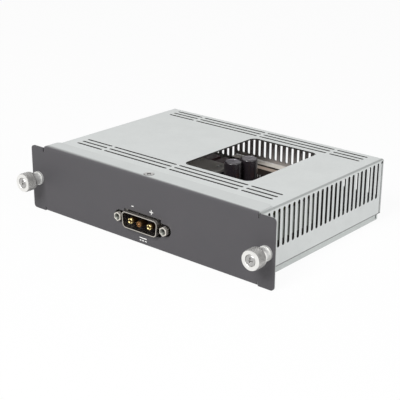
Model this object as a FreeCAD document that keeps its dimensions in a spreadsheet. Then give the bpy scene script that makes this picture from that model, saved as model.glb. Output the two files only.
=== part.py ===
# DC power supply module: folded and slotted zinc case, painted front panel with two captive thumbscrews
# and a three-contact power inlet, and the board with its parts inside. Millimetres, +Z up, +Y to the rear.
import FreeCAD, Part
import math
import os
import Sketcher

Vector = FreeCAD.Vector
Rotation = FreeCAD.Rotation

# Driving dimensions in mm. Places along y count from the front panel's face, places along x from its middle
# and places along z from its lower edge.
driving_sizes = {
    # Front panel
    "panel_width": 175.0,
    "panel_height": 38.0,
    "panel_sheet": 1.0,
    "ear_width": 10.5,
    "panel_flange_depth": 11.7,
    "panel_bend_radius": 1.4,
    "ear_corner_radius": 2.0,
    "relief_width": 0.8,
    "relief_depth": 2.2,
    "flange_corner": 1.5,
    # Cover
    "cover_overhang": 1.0,
    "case_depth": 113.0,
    "cover_sheet": 0.8,
    "cover_bend_radius": 1.2,
    "cover_front": 1.7,
    "skirt_edge": 5.5,
    "corner_gap": 0.45,
    "corner_relief_radius": 0.9,
    # Slot rows in the cover's top
    "row_slot_width": 1.4,
    "row_pitch": 4.15,
    "rows_per_group": 3,
    "front_row_y": 20.3,
    "rear_row_margin": 4.9,
    "row_side_margin": 7.5,
    "short_slot": 20.0,
    "slot_bridge": 2.0,
    # Window in the cover's top
    "window_left": 0.0,
    "window_width": 46.0,
    "window_front_margin": 3.2,
    "window_rear_margin": 3.6,
    "window_corner": 4.0,
    # Slots in the side walls and the rear wall
    "wall_slot_width": 2.0,
    "slot_tray_margin": 2.1,
    "slot_roof_margin": 1.7,
    "side_slot_pitch": 4.167,
    "side_slot_first": 7.4,
    "side_slot_rear_margin": 5.5,
    "rear_slot_pitch": 4.1,
    "rear_slot_side_margin": 4.0,
    "rear_middle_count": 13,
    "rear_middle_rise": 2.0,
    # Tray
    "tray_sheet": 1.0,
    "tray_gap": 0.2,
    "tray_wall_top": 13.5,
    "tray_bend_radius": 1.4,
    "tray_corner_gap": 1.0,
    "tray_notch_top": 4.4,
    # Sheet screws and nuts
    "screw_radius": 1.5,
    "sink_radius": 3.0,
    "sink_depth": 1.5,
    "sink_hole_depth": 6.0,
    "hole_clearance": 0.1,
    "flange_screw_y": 5.6,
    "flange_screw_length": 5.2,
    "nut_radius": 3.1,
    "nut_height": 2.4,
    "rear_screw_inset": 18.0,
    "rear_screw_z": 9.6,
    "rear_screw_length": 6.0,
    # Board
    "standoff_height": 3.0,
    "board_sheet": 1.6,
    "board_side_gap": 0.7,
    "board_front": 4.8,
    "board_rear_gap": 0.4,
    "standoff_radius": 2.8,
    "standoff_inset": 9.3,
    "standoff_front_y": 9.5,
    "standoff_rear_inset": 7.1,
    "board_screw_head_radius": 2.7,
    "board_screw_head": 1.8,
    # DC inlet
    "inlet_z": 12.7,
    "inlet_setback": 2.4,
    "shell_proud": 2.7,
    "shell_to_jack": 3.66,
    "shell_height": 9.2,
    "shell_slant": 0.9,
    "shell_wall": 0.45,
    "shell_corner": 2.4,
    "inlet_flange_reach": 2.94,
    "inlet_flange_rise": 1.4,
    "inlet_flange_sheet": 0.8,
    "inlet_cut_side_gap": 0.4,
    "inlet_cut_rise_gap": 0.6,
    "lobe_reach": 3.74,
    "lobe_gap": 0.925,
    "pin_spacing": 6.86,
    "pin_radius": 1.8,
    "pin_proud": 1.7,
    "middle_pin_lead": 1.0,
    "pin_leg_y": 16.0,
    "pin_bend_radius": 2.6,
    "block_inset": 0.7,
    "block_depth": 9.0,
    "block_floor_gap": 0.3,
    "block_top_rise": 5.4,
    "jack_spacing": 33.32,
    "jack_flats": 4.75,
    "jack_proud": 2.3,
    "jack_bore_radius": 1.3,
    "jack_bore_depth": 4.0,
    "jack_stud_radius": 1.4,
    "jack_stud_length": 4.6,
    "bracket_width": 6.4,
    "bracket_sheet": 1.0,
    "bracket_foot": 8.0,
    "bracket_rise": 9.6,
    # Rear output connector
    "output_end_margin": 5.0,
    "output_depth": 5.3,
    "output_height": 11.4,
    "output_wall": 1.5,
    "output_floor": 1.2,
    "output_wall_gap": 0.4,
    "blade_count": 8,
    "blade_pitch": 6.0,
    "blade_thickness": 1.2,
    "blade_height": 5.6,
    "blade_recess": 0.8,
    "blade_leg_gap": 1.9,
    "tail_below_board": 1.2,
    "lead_clearance": 0.1,
    # Electronics
    "tall_cap_radius": 5.0,
    "tall_cap_height": 25.0,
    "tall_cap_gap": 0.7,
    "tall_cap_stagger": 3.4,
    "front_cap_x": 6.2,
    "front_cap_y": 68.5,
    "can_edge": 0.6,
    "can_groove_radius": 1.0,
    "can_groove_depth": 0.5,
    "can_groove_rise": 2.5,
    "sink_plate_cap_gap": 4.3,
    "sink_plate_width": 48.9,
    "sink_plate_filter_gap": 4.0,
    "sink_plate_film_gap": 6.6,
    "sink_plate_top": 24.0,
    "sink_plate_sheet": 1.6,
    "transistor_count": 3,
    "transistor_inset": 12.0,
    "transistor_pitch": 16.0,
    "transistor_hole_inset": 5.4,
    "transistor_width": 10.2,
    "transistor_tab": 1.3,
    "transistor_tab_reach": 3.26,
    "transistor_body_height": 4.4,
    "transistor_body_length": 9.2,
    "transistor_tab_length": 15.6,
    "lead_width": 0.8,
    "lead_pitch": 2.54,
    "lead_level": 2.6,
    "lead_reach": 3.0,
    "side_sink_front_gap": 0.8,
    "side_sink_rear_gap": 3.8,
    "side_sink_height": 18.4,
    "side_sink_sheet": 1.6,
    "side_sink_gap": 0.6,
    "fin_reach": 4.0,
    "fin_sheet": 1.2,
    "fin_pitch": 3.6,
    "fins_per_end": 4,
    "rectifier_rise": 3.0,
    "rectifier_tab_length": 14.6,
    "core_sink_gap": 11.1,
    "core_length": 34.0,
    "core_front": 25.0,
    "core_depth": 12.0,
    "core_window_height": 3.5,
    "core_leg": 4.5,
    "core_yoke": 5.0,
    "core_middle_leg": 6.0,
    "core_foot": 0.8,
    "bobbin_gap": 0.3,
    "bobbin_wall": 1.2,
    "bobbin_overhang": 5.0,
    "bobbin_foot_lap": 1.0,
    "winding_inset": 0.5,
    "toroid_side_gap": 1.4,
    "toroid_chip_gap": 8.05,
    "toroid_board_gap": 0.3,
    "toroid_radius": 11.0,
    "toroid_bore": 5.5,
    "toroid_height": 8.5,
    "wire_radius": 0.7,
    "turn_clearance": 0.1,
    "turn_count": 14,
    "turn_first_angle": 30.0,
    "turn_sweep": 300.0,
    "filter_edge_gap": 4.8,
    "filter_y": 29.0,
    "filter_width": 17.0,
    "filter_height": 18.0,
    "filter_depth": 6.0,
    "filter_leg": 4.0,
    "filter_coil_round": 1.7,
    "film_cap_count": 2,
    "film_cap_inset": 8.0,
    "film_cap_rear_gap": 5.0,
    "film_cap_spacing": 3.0,
    "film_cap_width": 18.0,
    "film_cap_depth": 11.0,
    "film_cap_height": 14.0,
    "small_cap_count": 4,
    "small_cap_inset": 16.1,
    "small_cap_radius": 4.0,
    "small_cap_height": 16.0,
    "small_cap_pitch": 10.5,
    "fuse_edge_gap": 13.3,
    "fuse_y": 12.0,
    "fuse_length": 20.0,
    "fuse_radius": 2.6,
    "fuse_cap_length": 5.4,
    "fuse_cap_wall": 0.3,
    "fuse_clip_width": 3.0,
    "fuse_rise": 5.6,
    "varistor_fuse_gap": 3.0,
    "varistor_bracket_gap": 1.0,
    "varistor_radius": 6.0,
    "varistor_thickness": 4.0,
    "varistor_edge": 1.6,
    "varistor_rise": 1.5,
    "varistor_lead_spacing": 4.8,
    "chip_side_gap": 1.1,
    "chip_small_part_gap": 7.0,
    "chip_length": 9.9,
    "chip_width": 3.9,
    "chip_height": 1.6,
    "chip_pitch": 13.0,
    "chip_count": 3,
    "chip_board_gap": 0.1,
    "chip_foot_inset": 0.5,
    "chip_foot_reach": 1.0,
    "chip_foot_height": 0.3,
    "small_part_count": 8,
    "small_part_pitch": 3.2,
    "small_part_x": 16.0,
    "small_part_blade_gap": 3.8,
    "small_part_width": 1.2,
    "small_part_depth": 2.0,
    "small_part_height": 0.8,
    # Captive thumbscrews
    "thumbscrew_inset": 5.3,
    "ferrule_radius": 3.4,
    "ferrule_flange_radius": 4.0,
    "ferrule_flange": 1.2,
    "ferrule_reach": 5.2,
    "ferrule_shank_radius": 2.8,
    "ferrule_flare_radius": 3.3,
    "ferrule_flare": 0.5,
    "ferrule_lip": 1.0,
    "neck_radius": 1.5,
    "running_clearance": 0.05,
    "shank_radius": 1.8,
    "thread_radius": 2.0,
    "thread_gap": 0.3,
    "thread_free_length": 4.5,
    "thread_chamfer": 0.5,
    "knob_radius": 5.6,
    "knob_length": 7.9,
    "knob_gap": 4.6,
    "knob_chamfer": 0.6,
    "knob_front_wall": 1.5,
    "knob_bore_clearance": 0.3,
    "screw_head_radius": 2.9,
    "screw_head_height": 0.8,
    "screw_head_gap": 0.2,
    "spring_wire": 0.6,
    "spring_radius": 2.4,
    "spring_turns": 3.5,
    "spring_end_gap": 0.05,
}

document = FreeCAD.newDocument("dc_power_supply_module")
sheet = document.addObject("Spreadsheet::Sheet", "sizes")
for row, (alias, number) in enumerate(driving_sizes.items(), start=1):
    sheet.set("A%d" % row, alias)
    sheet.set("B%d" % row, str(number))
    sheet.setAlias("B%d" % row, alias)
document.recompute()


class Size:
    # A length that knows its value and the sheet formula that it comes from.
    def __init__(self, value, formula):
        self.value = float(value)
        self.formula = formula

    def __add__(self, other):
        return joined(self, other, "+")

    def __radd__(self, other):
        return joined(other, self, "+")

    def __sub__(self, other):
        return joined(self, other, "-")

    def __rsub__(self, other):
        return joined(other, self, "-")

    def __mul__(self, other):
        return joined(self, other, "*")

    def __rmul__(self, other):
        return joined(other, self, "*")

    def __truediv__(self, other):
        return joined(self, other, "/")

    def __neg__(self):
        return joined(0, self, "-")


def as_size(number):
    if isinstance(number, Size):
        return number
    return Size(number, "%.9g" % number)


def joined(left, right, sign):
    left = as_size(left)
    right = as_size(right)
    values = {
        "+": left.value + right.value,
        "-": left.value - right.value,
        "*": left.value * right.value,
        "/": left.value / right.value if right.value else math.inf,
    }
    return Size(values[sign], "(%s %s %s)" % (left.formula, sign, right.formula))


def whole(size):
    return Size(math.floor(size.value), "floor(%s)" % size.formula)


class Sizes:
    # The sheet's cells by their alias.
    def __getattr__(self, alias):
        return Size(driving_sizes[alias], "sizes." + alias)


s = Sizes()


def bind(thing, name, size):
    thing.setExpression(name, as_size(size).formula)


def place(thing, x=0, y=0, z=0):
    bind(thing, "Placement.Base.x", x)
    bind(thing, "Placement.Base.y", y)
    bind(thing, "Placement.Base.z", z)


turn_to_axis = {
    "x": Rotation(Vector(0, 1, 0), 90),
    "y": Rotation(Vector(1, 0, 0), -90),
    "z": Rotation(),
}


# Part primitives. Each span is a pair of low and high ends.
def block(name, x, y, z):
    box = document.addObject("Part::Box", name)
    bind(box, "Length", x[1] - as_size(x[0]))
    bind(box, "Width", y[1] - as_size(y[0]))
    bind(box, "Height", z[1] - as_size(z[0]))
    place(box, x[0], y[0], z[0])
    return box


def along(axis, centre, start):
    # Position of a round piece's start: centre gives the two places across its axis, in x, y, z order.
    return {
        "x": (start, centre[0], centre[1]),
        "y": (centre[0], start, centre[1]),
        "z": (centre[0], centre[1], start),
    }[axis]


def rod(name, axis, centre, radius, span):
    cylinder = document.addObject("Part::Cylinder", name)
    cylinder.Placement.Rotation = turn_to_axis[axis]
    bind(cylinder, "Radius", radius)
    bind(cylinder, "Height", span[1] - as_size(span[0]))
    place(cylinder, *along(axis, centre, span[0]))
    return cylinder


def cone(name, axis, centre, radii, span):
    taper = document.addObject("Part::Cone", name)
    taper.Placement.Rotation = turn_to_axis[axis]
    bind(taper, "Radius1", radii[0])
    bind(taper, "Radius2", radii[1])
    bind(taper, "Height", span[1] - as_size(span[0]))
    place(taper, *along(axis, centre, span[0]))
    return taper


def fused(name, parts):
    if len(parts) == 1:
        return parts[0]
    union = document.addObject("Part::MultiFuse", name)
    union.Shapes = parts
    union.Refine = True
    return union


def cut(name, base, tools):
    difference = document.addObject("Part::Cut", name)
    difference.Base = base
    difference.Tool = fused(name + "_tools", tools)
    return difference


def grouped(name, parts):
    group = document.addObject("Part::Compound", name)
    group.Links = parts
    return group


def filleted(name, base, radius, picked):
    # Rounds the edges whose middle point passes the test.
    document.recompute()
    value = as_size(radius).value
    edges = []
    for number, edge in enumerate(base.Shape.Edges, start=1):
        if picked(middle_of(edge)):
            edges.append((number, value, value))
    fillet = document.addObject("Part::Fillet", name)
    fillet.Base = base
    fillet.Edges = edges
    return fillet


def middle_of(edge):
    return edge.valueAt((edge.FirstParameter + edge.LastParameter) / 2)


def near(value, size):
    return abs(value - as_size(size).value) < 0.01


# PartDesign helpers. Sketch axes: on XY they are x and y, on XZ x and z, and on YZ y and z.
def origin_part(body, role):
    for feature in body.Origin.OriginFeatures:
        if feature.Role == role:
            return feature
    raise ValueError(role)


def new_body(name):
    return document.addObject("PartDesign::Body", name + "_body")


def sketch_on(body, plane, name, height):
    # The sketch stands off its origin plane by height along x, y or z.
    sketch = body.newObject("Sketcher::SketchObject", name)
    sketch.AttachmentSupport = [(origin_part(body, plane + "_Plane"), "")]
    sketch.MapMode = "FlatFace"
    offset = -as_size(height) if plane == "XZ" else as_size(height)
    bind(sketch, "AttachmentOffset.Base.z", offset)
    return sketch


def constrain(sketch, kind, places, size):
    number = sketch.addConstraint(Sketcher.Constraint(kind, *places, as_size(size).value))
    bind(sketch, "Constraints[%d]" % number, size)


def hold_point(sketch, geometry, position, x, y):
    for kind, size in (("DistanceX", x), ("DistanceY", y)):
        value = as_size(size)
        if value.value < 0:
            constrain(sketch, kind, (geometry, position, -1, 1), -value)
        else:
            constrain(sketch, kind, (-1, 1, geometry, position), value)


def polygon(sketch, points):
    first = sketch.GeometryCount
    corners = [Vector(as_size(x).value, as_size(y).value, 0) for x, y in points]
    count = len(corners)
    for index in range(count):
        sketch.addGeometry(Part.LineSegment(corners[index], corners[(index + 1) % count]))
    for index in range(count):
        following = first + (index + 1) % count
        sketch.addConstraint(Sketcher.Constraint("Coincident", first + index, 2, following, 1))
    for index, (x, y) in enumerate(points):
        hold_point(sketch, first + index, 1, x, y)


def rectangle(sketch, x, y):
    polygon(sketch, [(x[0], y[0]), (x[1], y[0]), (x[1], y[1]), (x[0], y[1])])


def circle(sketch, x, y, radius):
    number = sketch.GeometryCount
    centre = Vector(as_size(x).value, as_size(y).value, 0)
    sketch.addGeometry(Part.Circle(centre, Vector(0, 0, 1), as_size(radius).value))
    hold_point(sketch, number, 3, x, y)
    constrain(sketch, "Radius", (number,), radius)


def obround(sketch, x, y):
    # A slot with round ends along its longer side.
    lying = (x[1] - as_size(x[0])).value > (y[1] - as_size(y[0])).value
    width = (y[1] - as_size(y[0])) if lying else (x[1] - as_size(x[0]))
    radius = width / 2
    if lying:
        centres = [(x[0] + radius, y[0] + radius), (x[1] - radius, y[0] + radius)]
        spans = [(0.5 * math.pi, 1.5 * math.pi), (-0.5 * math.pi, 0.5 * math.pi)]
    else:
        centres = [(x[0] + radius, y[0] + radius), (x[0] + radius, y[1] - radius)]
        spans = [(-math.pi, 0), (0, math.pi)]
    first = sketch.GeometryCount
    arcs = []
    for (cx, cy), (start, end) in zip(centres, spans):
        round_end = Part.Circle(Vector(cx.value, cy.value, 0), Vector(0, 0, 1), radius.value)
        arcs.append(Part.ArcOfCircle(round_end, start, end))
    sketch.addGeometry(arcs[0])
    sketch.addGeometry(arcs[1])
    sketch.addGeometry(Part.LineSegment(arcs[0].EndPoint, arcs[1].StartPoint))
    sketch.addGeometry(Part.LineSegment(arcs[1].EndPoint, arcs[0].StartPoint))
    sketch.addConstraint(Sketcher.Constraint("Tangent", first, 2, first + 2, 1))
    sketch.addConstraint(Sketcher.Constraint("Tangent", first + 2, 2, first + 1, 1))
    sketch.addConstraint(Sketcher.Constraint("Tangent", first + 1, 2, first + 3, 1))
    sketch.addConstraint(Sketcher.Constraint("Tangent", first + 3, 2, first, 1))
    for index, (cx, cy) in enumerate(centres):
        hold_point(sketch, first + index, 3, cx, cy)
    constrain(sketch, "Radius", (first,), radius)


def pad(body, plane, name, span, draw):
    # Adds the drawn outline between the two ends of span along the plane's own axis.
    start = span[1] if plane == "XZ" else span[0]
    sketch = sketch_on(body, plane, name + "_sketch", start)
    draw(sketch)
    feature = body.newObject("PartDesign::Pad", name)
    feature.Profile = sketch
    bind(feature, "Length", span[1] - as_size(span[0]))
    return feature


def pocket(body, plane, name, span, draw):
    # Cuts the drawn outline between the two ends of span.
    start = span[0] if plane == "XZ" else span[1]
    sketch = sketch_on(body, plane, name + "_sketch", start)
    draw(sketch)
    feature = body.newObject("PartDesign::Pocket", name)
    feature.Profile = sketch
    bind(feature, "Length", span[1] - as_size(span[0]))
    return feature


def repeated(body, feature, axis, name, pitch, count):
    pattern = body.newObject("PartDesign::LinearPattern", name)
    pattern.Originals = [feature]
    pattern.Direction = (origin_part(body, axis + "_Axis"), [""])
    bind(pattern, "Length", as_size(pitch) * (as_size(count) - 1))
    bind(pattern, "Occurrences", count)
    body.Tip = pattern
    return pattern


def mirrored(body, features, plane, name):
    mirror = body.newObject("PartDesign::Mirrored", name)
    mirror.Originals = features
    mirror.MirrorPlane = (origin_part(body, plane + "_Plane"), [""])
    body.Tip = mirror
    return mirror


def rounded(body, name, radius, picked, kind="Fillet"):
    # Fillets or chamfers the edges of the body's last feature whose middle point passes the test.
    document.recompute()
    last = body.Tip
    names = []
    for number, edge in enumerate(last.Shape.Edges, start=1):
        if picked(middle_of(edge)):
            names.append("Edge%d" % number)
    feature = body.newObject("PartDesign::" + kind, name)
    feature.Base = (last, names)
    bind(feature, "Radius" if kind == "Fillet" else "Size", radius)
    body.Tip = feature
    return feature


nodes = []

# How far a cutting tool runs past the faces that it cuts
overcut = 1.0

# The origin lies under the middle of the whole module, knobs included.
knob_face = -(s.knob_gap + s.knob_length)
panel_front = (0 - (s.case_depth + knob_face)) / 2


def finish_node(label, thing):
    thing.Label = label
    place(thing, 0, panel_front, 0)
    nodes.append(thing)


# Shared levels and widths
cover_top = s.panel_height
panel_top = cover_top + s.panel_sheet
roof = cover_top - s.cover_sheet
tray_low = s.panel_sheet
tray_floor = tray_low + s.tray_sheet
board_low = tray_floor + s.standoff_height
board_top = board_low + s.board_sheet
panel_half = s.panel_width / 2
middle_half = panel_half - s.ear_width
cover_half = middle_half + s.cover_overhang
tray_half = cover_half - s.cover_sheet - s.tray_gap
board_half = tray_half - s.tray_sheet - s.board_side_gap
rear_wall_inner = s.case_depth - s.cover_sheet
tray_rear = rear_wall_inner - s.tray_gap
board_rear = tray_rear - s.tray_sheet - s.board_rear_gap
rear_screw_x = cover_half - s.rear_screw_inset
screw_hole_radius = s.screw_radius + s.hole_clearance

# Standoffs
standoff_x = board_half - s.standoff_inset
standoff_rear_y = board_rear - s.standoff_rear_inset
standoff_middle_y = (s.standoff_front_y + standoff_rear_y) / 2

# Power inlet
shell_width = s.jack_spacing - s.shell_to_jack * 2
inlet_flange_height = s.shell_height + s.inlet_flange_rise * 2
inlet_inside = s.inlet_setback + s.inlet_flange_sheet

# Rear output connector, with the rows of parts in front of it
output_half = s.blade_pitch * (s.blade_count - 1) / 2 + s.output_end_margin
output_top = board_top + s.output_height
output_front = s.case_depth - s.output_depth
output_hole_top = output_top + s.output_wall_gap
blade_leg_y = output_front - s.blade_leg_gap
small_part_y = blade_leg_y - s.small_part_blade_gap
chip_y = small_part_y - s.chip_small_part_gap
film_cap_front = small_part_y - s.film_cap_rear_gap - s.film_cap_depth

# Heatsink plate and its transistors
sink_plate_right = s.front_cap_x - s.tall_cap_radius - s.sink_plate_cap_gap
sink_plate_left = sink_plate_right - s.sink_plate_width
sink_plate_front = s.filter_y + s.filter_depth / 2 + s.sink_plate_filter_gap
sink_plate_rear = film_cap_front - s.sink_plate_film_gap
transistor_hole_y = sink_plate_rear - s.transistor_hole_inset

# Right-hand column: side heatsink, small capacitors, chips and choke
side_sink_inner = board_half - s.side_sink_gap - s.side_sink_sheet
side_sink_front = s.standoff_front_y + s.board_screw_head_radius + s.side_sink_front_gap
side_sink_rear = standoff_middle_y - s.board_screw_head_radius - s.side_sink_rear_gap
small_cap_x = board_half - s.small_cap_inset
small_cap_left = small_cap_x - s.small_cap_radius
chip_right = small_cap_left - s.chip_side_gap
toroid_x = small_cap_left - s.toroid_side_gap - s.wire_radius * 2 - s.toroid_radius
toroid_y = chip_y - s.chip_width / 2 - s.toroid_chip_gap - s.toroid_radius

# Captive thumbscrews
thumbscrew_x = panel_half - s.thumbscrew_inset
thumbscrew_z = s.panel_height / 2


def both_sides(x):
    return ((-1, -x), (1, x))


def sink_cut(name, axis, centre, face, direction):
    # Tool for a countersunk screw hole: cone under the face and a straight hole through the sheets behind.
    reach = direction * (s.sink_depth + s.hole_clearance)
    wide = s.sink_radius + s.hole_clearance
    if direction > 0:
        head = cone(name + "_cone", axis, centre, (wide, screw_hole_radius), (face, face + reach))
        shank = rod(name + "_hole", axis, centre, screw_hole_radius, (face, face + s.sink_hole_depth))
    else:
        head = cone(name + "_cone", axis, centre, (screw_hole_radius, wide), (face + reach, face))
        shank = rod(name + "_hole", axis, centre, screw_hole_radius, (face - s.sink_hole_depth, face))
    return [head, shank]


def sink_screw(name, axis, centre, face, direction, length):
    # Countersunk screw with its head flush with the face.
    if direction > 0:
        head = cone(name + "_head", axis, centre, (s.sink_radius, s.screw_radius),
                    (face, face + s.sink_depth))
        shank = rod(name + "_shank", axis, centre, s.screw_radius, (face, face + length))
    else:
        head = cone(name + "_head", axis, centre, (s.screw_radius, s.sink_radius),
                    (face - s.sink_depth, face))
        shank = rod(name + "_shank", axis, centre, s.screw_radius, (face - length, face))
    return fused(name, [head, shank])


def make_front_panel():
    # A C-shaped folded sheet with ears, relief notches, the inlet's cut-out and screw holes.
    body = new_body("front_panel")
    half = middle_half
    sheet_depth = s.panel_sheet
    depth = s.panel_flange_depth

    def section(sketch):
        polygon(sketch, [
            (0, 0), (depth, 0), (depth, sheet_depth), (sheet_depth, sheet_depth),
            (sheet_depth, cover_top), (depth, cover_top), (depth, panel_top), (0, panel_top)])

    pad(body, "YZ", "panel_section", (-half, half), section)
    inner_radius = s.panel_bend_radius - s.panel_sheet
    rounded(body, "panel_outer_bends", s.panel_bend_radius,
            lambda p: near(p.y, 0) and (near(p.z, 0) or near(p.z, panel_top)))
    rounded(body, "panel_inner_bends", inner_radius,
            lambda p: near(p.y, sheet_depth) and (near(p.z, sheet_depth) or near(p.z, cover_top)))
    rounded(body, "flange_corners", s.flange_corner,
            lambda p: near(p.y, depth) and near(abs(p.x), half),
            kind="Chamfer")
    ear = (half, panel_half)
    height = (0, s.panel_height)
    right = pad(body, "XZ", "right_ear", (0, s.panel_sheet), lambda k: rectangle(k, ear, height))
    mirrored(body, [right], "YZ", "left_ear")
    rounded(body, "ear_corners", s.ear_corner_radius,
            lambda p: near(abs(p.x), panel_half) and (near(p.z, 0) or near(p.z, s.panel_height)))

    def notches(sketch):
        span = (half, half + s.relief_width)
        rectangle(sketch, span, (0, s.relief_depth))
        rectangle(sketch, span, (s.panel_height - s.relief_depth, panel_top))

    notch = pocket(body, "XZ", "bend_reliefs", (-overcut, s.panel_sheet + overcut), notches)
    mirrored(body, [notch], "YZ", "left_bend_reliefs")
    cut_half = shell_width / 2 + s.inlet_cut_side_gap
    cut_rise = s.shell_height / 2 + s.inlet_cut_rise_gap
    lobe_half = s.jack_spacing / 2 + s.lobe_reach
    lobe_rise = s.jack_flats / 2 + s.lobe_gap
    middle = s.inlet_z
    pocket(body, "XZ", "inlet_cut", (-overcut, s.panel_sheet + overcut),
           lambda k: rectangle(k, (-cut_half, cut_half), (middle - cut_rise, middle + cut_rise)))
    pocket(body, "XZ", "lobe_cut", (-overcut, s.panel_sheet + overcut),
           lambda k: obround(k, (-lobe_half, lobe_half), (middle - lobe_rise, middle + lobe_rise)))
    shank_hole = s.ferrule_shank_radius + s.running_clearance
    hole = pocket(body, "XZ", "thumbscrew_hole", (-overcut, s.panel_sheet + overcut),
                  lambda k: circle(k, thumbscrew_x, thumbscrew_z, shank_hole))
    mirrored(body, [hole], "YZ", "left_thumbscrew_hole")
    spot = (0, s.flange_screw_y)
    tools = sink_cut("upper_panel_sink", "z", spot, panel_top, -1)
    tools += sink_cut("lower_panel_sink", "z", spot, as_size(0), 1)
    finish_node("front_panel", cut("front_panel", body, tools))


def make_top_cover():
    # Top, side walls and rear wall folded from one sheet, with slot rows and the window.
    body = new_body("top_cover")
    half = cover_half
    front = s.cover_front
    pad(body, "XY", "cover_block", (s.skirt_edge, cover_top),
        lambda k: rectangle(k, (-half, half), (front, s.case_depth)))
    rounded(body, "cover_bends", s.cover_bend_radius,
            lambda p: near(p.z, cover_top) and (near(abs(p.x), half) or near(p.y, s.case_depth)))
    inner_half = half - s.cover_sheet
    pocket(body, "XY", "cover_inside", (s.skirt_edge - overcut, roof),
           lambda k: rectangle(k, (-inner_half, inner_half), (front - overcut, rear_wall_inner)))
    rounded(body, "cover_inner_bends", s.cover_bend_radius - s.cover_sheet,
            lambda p: near(p.z, roof) and (near(abs(p.x), inner_half) or near(p.y, rear_wall_inner)))

    above = (roof - overcut, cover_top + overcut)
    group_depth = s.row_pitch * (s.rows_per_group - 1)
    rear_row_y = s.case_depth - s.rear_row_margin - group_depth
    long_slot = half - s.row_side_margin - s.short_slot - s.slot_bridge - s.slot_bridge / 2
    for name, row_y in (("front_rows", s.front_row_y), ("rear_rows", rear_row_y)):
        def one_row(sketch, row_y=row_y):
            span = (row_y - s.row_slot_width / 2, row_y + s.row_slot_width / 2)
            inner = s.slot_bridge / 2
            outer = inner + long_slot + s.slot_bridge
            obround(sketch, (inner, inner + long_slot), span)
            obround(sketch, (outer, outer + s.short_slot), span)
            obround(sketch, (-inner - long_slot, -inner), span)
            obround(sketch, (-outer - s.short_slot, -outer), span)
        row = pocket(body, "XY", name, above, one_row)
        repeated(body, row, "Y", name + "_pattern", s.row_pitch, s.rows_per_group)

    window_x = (s.window_left, s.window_left + s.window_width)
    window_y = (s.front_row_y + group_depth + s.row_slot_width / 2 + s.window_front_margin,
                rear_row_y - s.row_slot_width / 2 - s.window_rear_margin)
    pocket(body, "XY", "window", above, lambda k: rectangle(k, window_x, window_y))
    rounded(body, "window_corners", s.window_corner, lambda p: is_window_corner(p, window_x, window_y))

    slot_half = s.wall_slot_width / 2
    tall = (s.tray_wall_top + s.slot_tray_margin, cover_top - s.slot_roof_margin)
    first = (s.side_slot_first - slot_half, s.side_slot_first + slot_half)
    side_length = s.case_depth - s.side_slot_rear_margin - s.side_slot_first
    side = pocket(body, "YZ", "side_slot", (-half - overcut, half + overcut),
                  lambda k: obround(k, first, tall))
    repeated(body, side, "Y", "side_slots", s.side_slot_pitch, whole(side_length / s.side_slot_pitch) + 1)

    behind = (rear_wall_inner - overcut, s.case_depth + overcut)
    reach = s.rear_slot_pitch * (s.rear_middle_count - 1) / 2
    short = (output_hole_top + s.rear_middle_rise, tall[1])
    middle = pocket(body, "XZ", "rear_middle_slot", behind,
                    lambda k: obround(k, (-reach - slot_half, -reach + slot_half), short))
    repeated(body, middle, "X", "rear_middle_slots", s.rear_slot_pitch, s.rear_middle_count)
    outer_count = whole((half - s.rear_slot_side_margin - reach) / s.rear_slot_pitch)
    for sign, name in ((-1, "left"), (1, "right")):
        start = reach + s.rear_slot_pitch
        if sign < 0:
            start = 0 - (reach + s.rear_slot_pitch * outer_count)
        outer = pocket(body, "XZ", "rear_%s_slot" % name, behind,
                       lambda k, start=start: obround(k, (start - slot_half, start + slot_half), tall))
        repeated(body, outer, "X", "rear_%s_slots" % name, s.rear_slot_pitch, outer_count)

    opening_half = output_half + s.output_wall_gap
    pocket(body, "XZ", "output_opening", behind,
           lambda k: rectangle(k, (-opening_half, opening_half), (s.skirt_edge - overcut, output_hole_top)))

    def corner(sketch):
        rear = rear_wall_inner - s.cover_bend_radius + s.cover_sheet
        top = cover_top - s.cover_bend_radius - s.corner_relief_radius
        rectangle(sketch, (rear - s.corner_gap, rear), (s.skirt_edge - overcut, top))

    def relief(sketch):
        rear = rear_wall_inner - s.cover_bend_radius + s.cover_sheet
        top = cover_top - s.cover_bend_radius - s.corner_relief_radius
        circle(sketch, rear - s.corner_gap / 2, top, s.corner_relief_radius)

    side_reach = (half - s.cover_bend_radius, half + overcut)
    gap = pocket(body, "YZ", "corner_gap_cut", side_reach, corner)
    hole = pocket(body, "YZ", "corner_relief", side_reach, relief)
    mirrored(body, [gap, hole], "YZ", "left_corner")
    tools = sink_cut("cover_top_sink", "z", (0, s.flange_screw_y), panel_top, -1)
    for sign, x in both_sides(rear_screw_x):
        tools += sink_cut("cover_rear_sink_%d" % sign, "y", (x, s.rear_screw_z), s.case_depth, -1)
    finish_node("top_cover", cut("top_cover", body, tools))


def is_window_corner(point, window_x, window_y):
    on_x = near(point.x, window_x[0]) or near(point.x, window_x[1])
    on_y = near(point.y, window_y[0]) or near(point.y, window_y[1])
    return on_x and on_y


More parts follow.
